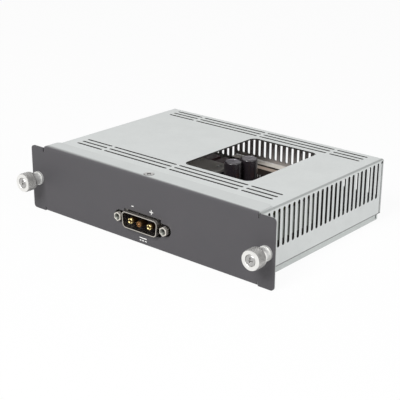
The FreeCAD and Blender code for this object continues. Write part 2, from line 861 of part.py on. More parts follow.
def make_base_tray():
    # Floor with upturned side flanges and a notched rear flange.
    body = new_body("base_tray")
    half = tray_half
    front = s.cover_front
    pad(body, "XY", "tray_block", (tray_low, s.tray_wall_top),
        lambda k: rectangle(k, (-half, half), (front, tray_rear)))
    rounded(body, "tray_bends", s.tray_bend_radius,
            lambda p: near(p.z, tray_low) and (near(abs(p.x), half) or near(p.y, tray_rear)))
    inner_half = half - s.tray_sheet
    flange_inner = tray_rear - s.tray_sheet
    above = s.tray_wall_top + overcut
    pocket(body, "XY", "tray_inside", (tray_floor, above),
           lambda k: rectangle(k, (-inner_half, inner_half), (front - overcut, flange_inner)))
    rounded(body, "tray_inner_bends", s.tray_bend_radius - s.tray_sheet,
            lambda p: near(p.z, tray_floor) and (near(abs(p.x), inner_half) or near(p.y, flange_inner)))
    opening_half = output_half + s.output_wall_gap
    pocket(body, "XZ", "output_notch", (flange_inner - overcut, tray_rear + overcut),
           lambda k: rectangle(k, (-opening_half, opening_half), (s.tray_notch_top, above)))

    def corner(sketch):
        rear = tray_rear - s.tray_bend_radius
        height = (tray_low + s.tray_bend_radius, above)
        rectangle(sketch, (rear - s.tray_corner_gap, rear), height)

    gap = pocket(body, "YZ", "tray_corner_gap_cut", (half - s.tray_bend_radius, half + overcut), corner)
    mirrored(body, [gap], "YZ", "left_tray_corner")
    tools = sink_cut("tray_floor_sink", "z", (0, s.flange_screw_y), as_size(0), 1)
    for sign, x in both_sides(rear_screw_x):
        tools += sink_cut("tray_rear_sink_%d" % sign, "y", (x, s.rear_screw_z), s.case_depth, -1)
    finish_node("base_tray", cut("base_tray", body, tools))


def make_case_screws():
    spot = (0, s.flange_screw_y)
    upper = sink_screw("upper_flange_screw", "z", spot, panel_top, -1, s.flange_screw_length)
    lower = sink_screw("lower_flange_screw", "z", spot, as_size(0), 1, tray_floor + s.nut_height)
    finish_node("flange_screws", grouped("flange_screws", [upper, lower]))
    spans = (
        ("upper_nut", (roof - s.nut_height, roof)),
        ("lower_nut", (tray_floor, tray_floor + s.nut_height)),
    )
    nuts = []
    for name, span in spans:
        outside = rod(name + "_outside", "z", spot, s.nut_radius, span)
        bore = rod(name + "_bore", "z", spot, s.screw_radius + s.running_clearance,
                   (span[0] - overcut, span[1] + overcut))
        nuts.append(cut(name, outside, [bore]))
    finish_node("clinch_nuts", grouped("clinch_nuts", nuts))
    rear = []
    for sign, x in both_sides(rear_screw_x):
        centre = (x, s.rear_screw_z)
        rear.append(sink_screw("rear_screw_%d" % sign, "y", centre, s.case_depth, -1, s.rear_screw_length))
    finish_node("rear_screws", grouped("rear_screws", rear))


def standoff_spots():
    spots = []
    for y in (s.standoff_front_y, standoff_middle_y, standoff_rear_y):
        for sign, x in both_sides(standoff_x):
            spots.append((x, y))
    return spots


def blade_places():
    first = (s.blade_count - 1) * s.blade_pitch / 2
    return [s.blade_pitch * index - first for index in range(int(driving_sizes["blade_count"]))]


def pin_places():
    return (("left", -s.pin_spacing, 0), ("middle", as_size(0), 1), ("right", as_size(s.pin_spacing), 0))


def make_board():
    panel = block("board_panel", (-board_half, board_half), (s.board_front, board_rear),
                  (board_low, board_top))
    through = (board_low - overcut, board_top + overcut)
    tools = []
    for index, spot in enumerate(standoff_spots()):
        tools.append(rod("board_hole_%d" % index, "z", spot, screw_hole_radius, through))
    leg_radius = s.pin_radius + s.lead_clearance
    for name, x, lead in pin_places():
        tools.append(rod("board_pin_hole_" + name, "z", (x, s.pin_leg_y), leg_radius, through))
    for index, x in enumerate(blade_places()):
        half = s.blade_thickness / 2 + s.lead_clearance
        leg_y = (blade_leg_y - s.lead_clearance, blade_leg_y + s.blade_thickness + s.lead_clearance)
        tools.append(block("board_blade_hole_%d" % index, (x - half, x + half), leg_y, through))
    finish_node("main_board", cut("main_board", panel, tools))
    standoffs = []
    screws = []
    for index, spot in enumerate(standoff_spots()):
        name = "standoff_%d" % index
        outside = rod(name + "_outside", "z", spot, s.standoff_radius, (tray_floor, board_low))
        bore = rod(name + "_bore", "z", spot, s.screw_radius + s.running_clearance,
                   (tray_floor - overcut, board_low + overcut))
        standoffs.append(cut(name, outside, [bore]))
        head_top = board_top + s.board_screw_head
        shank = rod("board_screw_shank_%d" % index, "z", spot, s.screw_radius,
                    (tray_floor + s.thread_gap, head_top))
        head = rod("board_screw_head_%d" % index, "z", spot, s.board_screw_head_radius,
                   (board_top, head_top))
        screws.append(fused("board_screw_%d" % index, [shank, head]))
    finish_node("board_standoffs", grouped("board_standoffs", standoffs))
    finish_node("board_screws", grouped("board_screws", screws))


def shell_prism(name, inset, span):
    # Prism with the shell's D-shaped outline, wider at the top, drawn inset from the shell's outside.
    body = new_body(name)
    half_top = shell_width / 2 - inset
    half_bottom = half_top - s.shell_slant
    low = s.inlet_z - s.shell_height / 2 + inset
    high = s.inlet_z + s.shell_height / 2 - inset
    corners = [(-half_bottom, low), (half_bottom, low), (half_top, high), (-half_top, high)]
    pad(body, "XZ", name + "_outline", span, lambda k: polygon(k, corners))
    rounded(body, name + "_corners", s.shell_corner - inset,
            lambda p: near(p.y, (span[0] + span[1]) / 2))
    return body


def make_inlet_shell():
    # Nickel flange plate drawn out into the D-shaped shell.
    inside = inlet_inside
    flange_half = s.jack_spacing / 2 + s.inlet_flange_reach
    rise = inlet_flange_height / 2
    outside = shell_prism("shell_outside", as_size(0), (-s.shell_proud, inside))
    bore = shell_prism("shell_bore", s.shell_wall, (-s.shell_proud - overcut, inside + overcut))
    plate = new_body("inlet_flange")
    pad(plate, "XZ", "inlet_flange_plate", (s.inlet_setback, inside),
        lambda k: rectangle(k, (-flange_half, flange_half), (s.inlet_z - rise, s.inlet_z + rise)))
    rounded(plate, "inlet_flange_corners", s.shell_corner / 2,
            lambda p: near(p.y, (s.inlet_setback + inside) / 2))
    stud_hole = s.jack_stud_radius + s.hole_clearance
    tools = [bore]
    for sign, x in both_sides(s.jack_spacing / 2):
        tools.append(rod("jack_hole_%d" % sign, "y", (x, s.inlet_z), stud_hole,
                         (s.inlet_setback - overcut, inside + overcut)))
    finish_node("inlet_shell", cut("inlet_shell", fused("inlet_shell_solid", [plate, outside]), tools))


def make_inlet_insulator():
    # Black block behind the flange with a nose that fills the shell's bore.
    inside = inlet_inside
    half = shell_width / 2 - s.block_inset
    floor = board_top + s.block_floor_gap
    rear = inside + s.block_depth
    brick = block("insulator_block", (-half, half), (inside, rear), (floor, s.inlet_z + s.block_top_rise))
    nose = shell_prism("insulator_nose", s.shell_wall + s.hole_clearance, (s.inlet_setback, inside))
    tools = []
    for name, x, lead in pin_places():
        tools.append(rod("insulator_bore_" + name, "y", (x, s.inlet_z), s.pin_radius + s.running_clearance,
                         (s.inlet_setback - overcut, rear + overcut)))
    solid = fused("inlet_insulator_solid", [brick, nose])
    finish_node("inlet_insulator", cut("inlet_insulator", solid, tools))


def make_inlet_pins():
    # Each contact is a round bar that turns down into the board behind the insulator.
    for name, x, lead in pin_places():
        body = new_body("inlet_pin_" + name)
        tip = -s.pin_proud - s.middle_pin_lead * lead
        bend = s.pin_bend_radius
        foot = board_low - s.tail_below_board
        path = sketch_on(body, "YZ", "pin_path_" + name, as_size(0))
        corner_y = s.pin_leg_y.value
        corner_z = s.inlet_z.value
        radius = bend.value
        centre = Vector(corner_y - radius, corner_z - radius, 0)
        bend_start = Vector(corner_y - radius, corner_z, 0)
        path.addGeometry(Part.LineSegment(Vector(tip.value, corner_z, 0), bend_start))
        turn = Part.ArcOfCircle(Part.Circle(centre, Vector(0, 0, 1), radius), 0, math.pi / 2)
        path.addGeometry(turn)
        bend_end = Vector(corner_y, corner_z - radius, 0)
        path.addGeometry(Part.LineSegment(bend_end, Vector(corner_y, foot.value, 0)))
        path.addConstraint(Sketcher.Constraint("Tangent", 0, 2, 1, 2))
        path.addConstraint(Sketcher.Constraint("Tangent", 1, 1, 2, 1))
        path.addConstraint(Sketcher.Constraint("Horizontal", 0))
        path.addConstraint(Sketcher.Constraint("Vertical", 2))
        hold_point(path, 0, 1, tip, s.inlet_z)
        hold_point(path, 2, 2, s.pin_leg_y, foot)
        constrain(path, "Radius", (1,), bend)
        profile = sketch_on(body, "XZ", "pin_profile_" + name, tip)
        circle(profile, 0, s.inlet_z, s.pin_radius)
        pipe = body.newObject("PartDesign::AdditivePipe", "pin_bar_" + name)
        pipe.Profile = profile
        pipe.Spine = path
        body.Tip = pipe
        rounded(body, "pin_tip_" + name, s.pin_radius / 2, lambda p, tip=tip: near(p.y, tip))
        body.Label = "inlet_pin_" + name
        place(body, x, panel_front, 0)
        nodes.append(body)


def make_inlet_fasteners():
    # Hexagonal jackscrews and the two metal angles that carry the inlet on the board.
    inside = inlet_inside
    screws = []
    brackets = []
    for sign, x in both_sides(s.jack_spacing / 2):
        name = "jack_%s" % ("left" if sign < 0 else "right")
        prism = document.addObject("Part::Prism", name + "_hexagon")
        prism.Polygon = 6
        prism.Placement.Rotation = turn_to_axis["y"]
        bind(prism, "Circumradius", s.jack_flats / as_size(math.sqrt(3)))
        bind(prism, "Height", s.inlet_setback + s.jack_proud)
        place(prism, x, -s.jack_proud, s.inlet_z)
        stud = rod(name + "_stud", "y", (x, s.inlet_z), s.jack_stud_radius,
                   (s.inlet_setback, s.inlet_setback + s.jack_stud_length))
        bore = rod(name + "_bore", "y", (x, s.inlet_z), s.jack_bore_radius,
                   (-s.jack_proud - overcut, -s.jack_proud + s.jack_bore_depth))
        screws.append(cut(name, fused(name + "_solid", [prism, stud]), [bore]))
        angle = "bracket_%s" % ("left" if sign < 0 else "right")
        half = s.bracket_width / 2
        upright = block(angle + "_upright", (x - half, x + half), (inside, inside + s.bracket_sheet),
                        (board_top, s.inlet_z + s.bracket_rise - inlet_flange_height / 2))
        foot = block(angle + "_foot", (x - half, x + half), (inside, inside + s.bracket_foot),
                     (board_top, board_top + s.bracket_sheet))
        hole = rod(angle + "_hole", "y", (x, s.inlet_z), s.jack_stud_radius + s.hole_clearance,
                   (inside - overcut, inside + s.bracket_sheet + overcut))
        brackets.append(cut(angle, fused(angle + "_solid", [upright, foot]), [hole]))
    finish_node("inlet_jackscrews", grouped("inlet_jackscrews", screws))
    finish_node("inlet_brackets", grouped("inlet_brackets", brackets))


def make_output_connector():
    # Ivory shrouded header that opens to the rear, with a row of power blades.
    half = output_half
    outside = block("output_outside", (-half, half), (output_front, s.case_depth), (board_top, output_top))
    wall = s.output_wall
    cavity = block("output_cavity", (-half + wall, half - wall),
                   (output_front + s.output_floor, s.case_depth + overcut),
                   (board_top + wall, output_top - wall))
    tools = [cavity]
    blades = []
    thick = s.blade_thickness / 2
    gap = s.lead_clearance
    middle = board_top + s.output_height / 2
    low = middle - s.blade_height / 2
    high = middle + s.blade_height / 2
    for index, x in enumerate(blade_places()):
        tools.append(block("blade_slot_%d" % index, (x - thick - gap, x + thick + gap),
                           (output_front - overcut, s.case_depth), (low - gap, high + gap)))
        bar = block("blade_bar_%d" % index, (x - thick, x + thick),
                    (blade_leg_y, s.case_depth - s.blade_recess), (low, high))
        leg = block("blade_leg_%d" % index, (x - thick, x + thick),
                    (blade_leg_y, blade_leg_y + s.blade_thickness), (board_low - s.tail_below_board, high))
        blades.append(fused("blade_%d" % index, [bar, leg]))
    finish_node("output_housing", cut("output_housing", outside, tools))
    finish_node("output_blades", grouped("output_blades", blades))


def electrolytic(name, centre, radius, height):
    # Sleeved can with a rolled groove near its rubber bung.
    can = rod(name + "_can", "z", centre, radius, (board_top, board_top + height))
    rounded_can = filleted(name + "_rolled", can, s.can_edge, lambda p: near(p.z, board_top + height))
    groove = document.addObject("Part::Torus", name + "_groove")
    bind(groove, "Radius1", radius - s.can_groove_depth + s.can_groove_radius)
    bind(groove, "Radius2", s.can_groove_radius)
    place(groove, centre[0], centre[1], board_top + s.can_groove_rise)
    return cut(name, rounded_can, [groove])


def make_capacitors():
    front = electrolytic("front_can", (s.front_cap_x, s.front_cap_y), s.tall_cap_radius, s.tall_cap_height)
    finish_node("capacitor_front", front)
    rear_spot = (s.front_cap_x + s.tall_cap_stagger, s.front_cap_y + s.tall_cap_radius * 2 + s.tall_cap_gap)
    rear = electrolytic("rear_can", rear_spot, s.tall_cap_radius, s.tall_cap_height)
    finish_node("capacitor_rear", rear)
    small = []
    row_middle = (standoff_middle_y + standoff_rear_y) / 2
    first_y = row_middle - s.small_cap_pitch * (s.small_cap_count - 1) / 2
    for index in range(int(driving_sizes["small_cap_count"])):
        centre = (small_cap_x, first_y + s.small_cap_pitch * index)
        small.append(electrolytic("small_can_%d" % index, centre, s.small_cap_radius, s.small_cap_height))
    finish_node("output_capacitors", grouped("output_capacitors", small))
    boxes = []
    for index in range(int(driving_sizes["film_cap_count"])):
        left = sink_plate_left + s.film_cap_inset + (s.film_cap_width + s.film_cap_spacing) * index
        box = block("film_box_%d" % index, (left, left + s.film_cap_width),
                    (film_cap_front, film_cap_front + s.film_cap_depth),
                    (board_top, board_top + s.film_cap_height))
        boxes.append(box)
    finish_node("film_capacitors", grouped("film_capacitors", boxes))


def transistor_places():
    first = sink_plate_left + s.transistor_inset
    return [first + s.transistor_pitch * index for index in range(int(driving_sizes["transistor_count"]))]


def make_heatsink_plate():
    # Black anodised plate on one folded leg, with the transistors screwed under it.
    low = s.sink_plate_top - s.sink_plate_sheet
    depth = (sink_plate_front, sink_plate_rear)
    plate = block("sink_plate", (sink_plate_left, sink_plate_right), depth, (low, s.sink_plate_top))
    leg = block("sink_leg", (sink_plate_left, sink_plate_left + s.sink_plate_sheet), depth,
                (board_top, s.sink_plate_top))
    folded = fused("sink_folded", [plate, leg])
    bend = filleted("sink_bend", folded, s.sink_plate_sheet,
                    lambda p: near(p.x, sink_plate_left) and near(p.z, s.sink_plate_top))
    tools = []
    for index, x in enumerate(transistor_places()):
        tools.append(rod("sink_hole_%d" % index, "z", (x, transistor_hole_y), screw_hole_radius,
                         (low - overcut, s.sink_plate_top + overcut)))
    finish_node("heatsink_plate", cut("heatsink_plate", bend, tools))
    devices = []
    screws = []
    under = low - s.transistor_tab
    for index, x in enumerate(transistor_places()):
        devices.append(power_device("transistor_%d" % index, x, low))
        spot = (x, transistor_hole_y)
        nut = rod("transistor_nut_%d" % index, "z", spot, s.board_screw_head_radius,
                  (under - s.board_screw_head, under))
        shank = rod("transistor_shank_%d" % index, "z", spot, s.screw_radius,
                    (under - s.board_screw_head, s.sink_plate_top - s.thread_gap))
        screws.append(fused("transistor_screw_%d" % index, [nut, shank]))
    finish_node("power_transistors", grouped("power_transistors", devices))
    finish_node("transistor_screws", grouped("transistor_screws", screws))


def power_device(name, x, seat):
    # Tab and moulded body under the plate, and three leads that turn down to the board.
    half = s.transistor_width / 2
    rear = transistor_hole_y + s.transistor_tab_reach
    front = rear - s.transistor_tab_length
    tab = block(name + "_tab", (x - half, x + half), (front, rear), (seat - s.transistor_tab, seat))
    body = block(name + "_body", (x - half, x + half), (front, front + s.transistor_body_length),
                 (seat - s.transistor_body_height, seat))
    leads = []
    level = seat - s.lead_level
    bend_y = front - s.lead_reach
    width = s.lead_width / 2
    for number in (-1, 0, 1):
        lead_x = x + s.lead_pitch * number
        run = block(name + "_run_%d" % number, (lead_x - width, lead_x + width),
                    (bend_y, front), (level, level + s.lead_width))
        drop = block(name + "_drop_%d" % number, (lead_x - width, lead_x + width),
                     (bend_y, bend_y + s.lead_width), (board_top, level + s.lead_width))
        leads += [run, drop]
    solid = fused(name + "_solid", [tab, body] + leads)
    hole = rod(name + "_hole", "z", (x, transistor_hole_y), screw_hole_radius,
               (seat - s.transistor_body_height - overcut, seat + overcut))
    return cut(name, solid, [hole])


def make_side_heatsink():
    # Extruded heatsink beside the right wall with fins towards the board's middle.
    body = new_body("side_heatsink")
    outer = board_half - s.side_sink_gap
    inner = side_sink_inner
    height = (board_top, board_top + s.side_sink_height)
    pad(body, "XY", "sink_web", height,
        lambda k: rectangle(k, (inner, outer), (side_sink_front, side_sink_rear)))
    tip = inner - s.fin_reach
    first = pad(body, "XY", "front_fin", height,
                lambda k: rectangle(k, (tip, inner), (side_sink_front, side_sink_front + s.fin_sheet)))
    repeated(body, first, "Y", "front_fins", s.fin_pitch, s.fins_per_end)
    start = side_sink_rear - s.fin_sheet - s.fin_pitch * (s.fins_per_end - 1)
    last = pad(body, "XY", "rear_fin", height,
               lambda k: rectangle(k, (tip, inner), (start, start + s.fin_sheet)))
    repeated(body, last, "Y", "rear_fins", s.fin_pitch, s.fins_per_end)
    finish_node("side_heatsink", body)
    middle = (side_sink_front + side_sink_rear) / 2
    half = s.transistor_width / 2
    body_low = board_top + s.rectifier_rise
    width_y = (middle - half, middle + half)
    device = block("rectifier_body", (inner - s.transistor_body_height, inner), width_y,
                   (body_low, body_low + s.transistor_body_length))
    tab = block("rectifier_tab", (inner - s.transistor_tab, inner), width_y,
                (body_low, body_low + s.rectifier_tab_length))
    legs = []
    leg_x = inner - s.lead_level
    width = s.lead_width / 2
    for number in (-1, 0, 1):
        leg_y = middle + s.lead_pitch * number
        legs.append(block("rectifier_leg_%d" % number, (leg_x, leg_x + s.lead_width),
                          (leg_y - width, leg_y + width), (board_top, body_low)))
    finish_node("rectifier", grouped("rectifier", [fused("rectifier_solid", [device, tab] + legs)]))


def make_transformer():
    # Ferrite core with two windows, a flanged bobbin on its middle leg and the taped winding.
    right = side_sink_inner - s.fin_reach - s.core_sink_gap
    left = right - s.core_length
    front = s.core_front
    rear = front + s.core_depth
    low = board_top + s.core_foot
    leg_low = low + s.core_leg + s.core_window_height
    leg_high = leg_low + s.core_middle_leg
    high = leg_high + s.core_window_height + s.core_leg
    outside = block("core_outside", (left, right), (front, rear), (low, high))
    window_x = (left + s.core_yoke, right - s.core_yoke)
    through = (front - overcut, rear + overcut)
    lower = block("core_lower_window", window_x, through, (low + s.core_leg, leg_low))
    upper = block("core_upper_window", window_x, through, (leg_high, high - s.core_leg))
    finish_node("transformer_core", cut("transformer_core", outside, [lower, upper]))
    gap = s.bobbin_gap
    bobbin_x = (window_x[0] + gap, window_x[1] - gap)
    bobbin_y = (front - s.bobbin_overhang, rear + s.bobbin_overhang)
    bobbin_z = (low + s.core_leg + gap, high - s.core_leg - gap)
    foot_z = (board_top, bobbin_z[0] + s.bobbin_foot_lap)
    flanges = []
    for name, start in (("left", bobbin_x[0]), ("right", bobbin_x[1] - s.bobbin_wall)):
        span = (start, start + s.bobbin_wall)
        flanges.append(block("bobbin_flange_" + name, span, bobbin_y, bobbin_z))
        flanges.append(block("bobbin_front_foot_" + name, span, (bobbin_y[0], front - gap), foot_z))
        flanges.append(block("bobbin_rear_foot_" + name, span, (rear + gap, bobbin_y[1]), foot_z))
    tube = block("bobbin_tube", bobbin_x, (front - gap - s.bobbin_wall, rear + gap + s.bobbin_wall),
                 (leg_low - gap - s.bobbin_wall, leg_high + gap + s.bobbin_wall))
    bore = block("bobbin_bore", (left, right), (front - gap, rear + gap), (leg_low - gap, leg_high + gap))
    solid = fused("bobbin_solid", flanges + [tube])
    finish_node("transformer_bobbin", cut("transformer_bobbin", solid, [bore]))
    inset = s.winding_inset
    wound_x = (bobbin_x[0] + s.bobbin_wall + inset / 2, bobbin_x[1] - s.bobbin_wall - inset / 2)
    wound = block("winding_outside", wound_x, (bobbin_y[0] + inset, bobbin_y[1] - inset),
                  (bobbin_z[0] + inset, bobbin_z[1] - inset))
    soft = filleted("winding_rounded", wound, s.bobbin_overhang / 2,
                    lambda p: near(p.x, (wound_x[0] + wound_x[1]) / 2))
    clear = gap * 2 + s.bobbin_wall
    hollow = block("winding_bore", (left, right), (front - clear, rear + clear),
                   (leg_low - clear, leg_high + clear))
    finish_node("transformer_winding", cut("transformer_winding", soft, [hollow]))


def make_choke():
    # Toroid on the board; the winding is a ring of round turns.
    spot = (toroid_x, toroid_y)
    low = board_top + s.wire_radius * 2 + s.toroid_board_gap
    high = low + s.toroid_height
    ring = rod("toroid_outside", "z", spot, s.toroid_radius, (low, high))
    bore = rod("toroid_bore_tool", "z", spot, s.toroid_bore, (low - overcut, high + overcut))
    finish_node("choke_core", cut("choke_core", ring, [bore]))
    wire = s.wire_radius.value
    offset = s.turn_clearance.value + wire
    inner = s.toroid_bore.value - offset
    outer = s.toroid_radius.value + offset
    below = low.value - offset
    above = high.value + offset
    corners = [(inner, below), (outer, below), (outer, above), (inner, above)]
    turns = []
    for index in range(int(driving_sizes["turn_count"])):
        share = index / (driving_sizes["turn_count"] - 1)
        angle = math.radians(driving_sizes["turn_first_angle"] + driving_sizes["turn_sweep"] * share)
        bars = []
        for corner, (radial, level) in enumerate(corners):
            next_radial, next_level = corners[(corner + 1) % len(corners)]
            start = Vector(radial * math.cos(angle), radial * math.sin(angle), level)
            end = Vector(next_radial * math.cos(angle), next_radial * math.sin(angle), next_level)
            direction = end - start
            bars.append(Part.makeCylinder(wire, direction.Length, start, direction))
            bars.append(Part.makeSphere(wire, start))
        turns.append(bars[0].fuse(bars[1:]).removeSplitter())
    winding = document.addObject("Part::Feature", "choke_turns")
    winding.Shape = Part.makeCompound(turns)
    place(winding, toroid_x, toroid_y, 0)
    finish_node("choke_winding", grouped("choke_winding", [winding]))


def make_filter():
    # Rectangular filter core standing on the board with one winding on each upright leg.
    left = s.filter_edge_gap - board_half
    right = left + s.filter_width
    front = s.filter_y - s.filter_depth / 2
    rear = s.filter_y + s.filter_depth / 2
    high = board_top + s.filter_height
    outside = block("filter_outside", (left, right), (front, rear), (board_top, high))
    hole = block("filter_hole", (left + s.filter_leg, right - s.filter_leg),
                 (front - overcut, rear + overcut), (board_top + s.filter_leg, high - s.filter_leg))
    finish_node("filter_core", cut("filter_core", outside, [hole]))
    windings = []
    gap = s.bobbin_gap
    margin = (s.filter_width / 2 - s.filter_leg) / 2 - gap
    coil_z = (board_top + s.filter_leg + gap, high - s.filter_leg - gap)
    coil_middle = (coil_z[0] + coil_z[1]) / 2
    for name, start in (("left", left), ("right", right - s.filter_leg)):
        coil = block("filter_coil_" + name, (start - margin, start + s.filter_leg + margin),
                     (front - margin, rear + margin), coil_z)
        soft = filleted("filter_soft_" + name, coil, s.filter_coil_round, lambda p: near(p.z, coil_middle))
        bore = block("filter_bore_" + name, (start - gap, start + s.filter_leg + gap),
                     (front - gap, rear + gap), (board_top, high))
        windings.append(cut("filter_winding_" + name, soft, [bore]))
    finish_node("filter_windings", grouped("filter_windings", windings))


def make_fuse():
    # Glass tube with metal end caps, each held in a clip on the board.
    centre = (s.fuse_y, board_top + s.fuse_rise)
    left = s.fuse_edge_gap - board_half
    right = left + s.fuse_length
    tube = rod("fuse_tube", "x", centre, s.fuse_radius - s.fuse_cap_wall,
               (left + s.fuse_cap_length, right - s.fuse_cap_length))
    caps = []
    for name, start in (("left", left), ("right", right - s.fuse_cap_length)):
        cap = rod("fuse_cap_" + name, "x", centre, s.fuse_radius, (start, start + s.fuse_cap_length))
        middle = start + s.fuse_cap_length / 2
        clip = block("fuse_clip_" + name, (middle - s.fuse_clip_width / 2, middle + s.fuse_clip_width / 2),
                     (s.fuse_y - s.fuse_radius, s.fuse_y + s.fuse_radius),
                     (board_top, board_top + s.fuse_rise))
        caps.append(fused("fuse_end_" + name, [cap, clip]))
    finish_node("fuse", grouped("fuse", [fused("fuse_solid", [tube] + caps)]))


def make_varistor():
    # Lacquered disc that stands on two wires behind the inlet's bracket.
    x = s.fuse_edge_gap - board_half + s.fuse_length + s.varistor_fuse_gap + s.varistor_radius
    y = inlet_inside + s.bracket_foot + s.varistor_bracket_gap + s.varistor_thickness / 2
    rise = board_top + s.varistor_radius + s.varistor_rise
    half = s.varistor_thickness / 2
    disc = rod("varistor_disc", "y", (x, rise), s.varistor_radius, (y - half, y + half))
    soft = filleted("varistor_soft", disc, s.varistor_edge, lambda p: not near(p.y, y))
    legs = []
    for sign in (-1, 1):
        spot = (x + s.varistor_lead_spacing / 2 * sign, y)
        legs.append(rod("varistor_leg_%d" % sign, "z", spot, s.lead_width / 2, (board_top, rise)))
    finish_node("varistor", grouped("varistor", [fused("varistor_solid", [soft] + legs)]))


def make_small_parts():
    # Control chips on their feet, and a row of small ceramic parts.
    chips = []
    half = s.chip_width / 2
    foot_half = half + s.chip_foot_reach
    for index in range(int(driving_sizes["chip_count"])):
        right = chip_right - s.chip_pitch * index
        left = right - s.chip_length
        body = block("chip_body_%d" % index, (left, right), (chip_y - half, chip_y + half),
                     (board_top + s.chip_board_gap, board_top + s.chip_height))
        feet = block("chip_feet_%d" % index, (left + s.chip_foot_inset, right - s.chip_foot_inset),
                     (chip_y - foot_half, chip_y + foot_half), (board_top, board_top + s.chip_foot_height))
        chips.append(fused("chip_%d" % index, [body, feet]))
    finish_node("control_chips", grouped("control_chips", chips))
    pieces = []
    part_half = s.small_part_depth / 2
    for index in range(int(driving_sizes["small_part_count"])):
        left = s.small_part_x + s.small_part_pitch * index
        pieces.append(block("small_part_%d" % index, (left, left + s.small_part_width),
                            (small_part_y - part_half, small_part_y + part_half),
                            (board_top, board_top + s.small_part_height)))
    finish_node("small_parts", grouped("small_parts", pieces))


def coil_spring(wire_radius, coil_radius, length, turns):
    # Half turns of round wire, each an exact arc tilted by the pitch and tangent to the next.
    count = round(2 * turns)
    step = length / count
    halves = []
    for index in range(count):
        side = 1 if index % 2 == 0 else -1
        start = Vector(side * coil_radius, 0, index * step)
        end = Vector(-side * coil_radius, 0, (index + 1) * step)
        disc = Part.Face(Part.Wire(Part.makeCircle(wire_radius, start, Vector(0, 1, 0))))
        halves.append(disc.revolve((start + end) / 2, Vector(side * step / 2, 0, coil_radius), 180))
    return halves[0].multiFuse(halves[1:]).removeSplitter()


def make_thumbscrew(side, x):
    # Ferrule flared into the ear, spring, knob and the captive screw that runs through them.
    spot = (x, thumbscrew_z)
    sheet_depth = s.panel_sheet
    nose = -s.ferrule_reach
    end = sheet_depth + s.ferrule_flare
    ferrule_parts = [
        rod(side + "_ferrule_body", "y", spot, s.ferrule_radius, (nose, 0)),
        rod(side + "_ferrule_flange", "y", spot, s.ferrule_flange_radius, (-s.ferrule_flange, 0)),
        rod(side + "_ferrule_shank", "y", spot, s.ferrule_shank_radius, (0, end)),
        rod(side + "_ferrule_flare", "y", spot, s.ferrule_flare_radius, (sheet_depth, end)),
    ]
    lip_end = nose + s.ferrule_lip
    bores = [
        rod(side + "_ferrule_lip", "y", spot, s.neck_radius + s.running_clearance,
            (nose - overcut, end + overcut)),
        rod(side + "_ferrule_bore", "y", spot, s.thread_radius + s.thread_gap, (lip_end, end + overcut)),
    ]
    ferrule = cut(side + "_ferrule", fused(side + "_ferrule_solid", ferrule_parts), bores)
    finish_node(side + "_ferrule", ferrule)

    knob_back = -s.knob_gap
    wall_inner = knob_face + s.knob_front_wall
    knob_blank = rod(side + "_knob_blank", "y", spot, s.knob_radius, (knob_face, knob_back))
    ends = filleted(side + "_knob_ends", knob_blank, s.knob_chamfer,
                    lambda p: near(p.y, knob_face) or near(p.y, knob_back))
    head_seat = knob_face + s.screw_head_height
    before = knob_face - overcut
    knob_tools = [
        rod(side + "_knob_bore", "y", spot, s.ferrule_radius + s.knob_bore_clearance, (wall_inner, 0)),
        rod(side + "_knob_hole", "y", spot, s.neck_radius + s.running_clearance,
            (before, wall_inner + overcut)),
        rod(side + "_knob_sink", "y", spot, s.screw_head_radius + s.screw_head_gap, (before, head_seat)),
    ]
    finish_node(side + "_knob", cut(side + "_knob", ends, knob_tools))

    shank_start = lip_end + s.thread_gap
    thread_end = end + s.thread_free_length
    shank = rod(side + "_shank", "y", spot, s.shank_radius, (shank_start, end))
    thread = rod(side + "_thread", "y", spot, s.thread_radius, (end, thread_end - s.thread_chamfer))
    point = cone(side + "_thread_point", "y", spot, (s.thread_radius, s.thread_radius - s.thread_chamfer),
                 (thread_end - s.thread_chamfer, thread_end))
    neck = rod(side + "_neck", "y", spot, s.neck_radius, (knob_face, shank_start))
    head = rod(side + "_screw_head", "y", spot, s.screw_head_radius, (knob_face, head_seat))
    screw = fused(side + "_screw_solid", [head, neck, shank, thread, point])
    finish_node(side + "_screw", grouped(side + "_screw", [screw]))

    start = wall_inner + s.spring_end_gap + s.spring_wire / 2
    stop = nose - s.spring_end_gap - s.spring_wire / 2
    spring = document.addObject("Part::Feature", side + "_coil")
    spring.Shape = coil_spring(s.spring_wire.value / 2, s.spring_radius.value, (stop - start).value,
                               s.spring_turns.value)
    spring.Placement.Rotation = turn_to_axis["y"]
    place(spring, x, start, thumbscrew_z)
    finish_node(side + "_spring", grouped(side + "_spring", [spring]))


def check_document():
    # Every object computed, each pocket took something away, and each sub-part is a valid solid.
    for thing in document.Objects:
        if "Invalid" in thing.State or "Error" in thing.State:
            raise RuntimeError("failed: %s %s" % (thing.Name, thing.State))
        if thing.TypeId == "PartDesign::Pocket":
            before = thing.BaseFeature.Shape.Volume
            if not thing.Shape.Volume < before - 0.001:
                raise RuntimeError("cuts nothing: " + thing.Name)
    for thing in nodes:
        shape = thing.Shape
        if shape.isNull() or not shape.isValid() or not shape.Solids:
            raise RuntimeError("bad shape: " + thing.Label)


make_front_panel()
make_top_cover()
make_base_tray()
make_case_screws()
make_board()
make_inlet_shell()
make_inlet_insulator()
make_inlet_pins()
make_inlet_fasteners()
make_output_connector()
make_capacitors()
make_heatsink_plate()
make_side_heatsink()
make_transformer()
make_choke()
make_filter()
make_fuse()
make_varistor()
make_small_parts()
for sign, thumb_x in both_sides(thumbscrew_x):
    make_thumbscrew("left" if sign < 0 else "right", thumb_x)
document.recompute()
check_document()

os.makedirs("parts", exist_ok=True)
for node in nodes:
    node.Shape.exportStep("parts/%s.step" % node.Label)
print("%d sub-parts written" % len(nodes))
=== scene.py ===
# DC power supply module: looks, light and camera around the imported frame. Lengths in metres.
import math

import bmesh
import bpy
from mathutils import Matrix, Vector


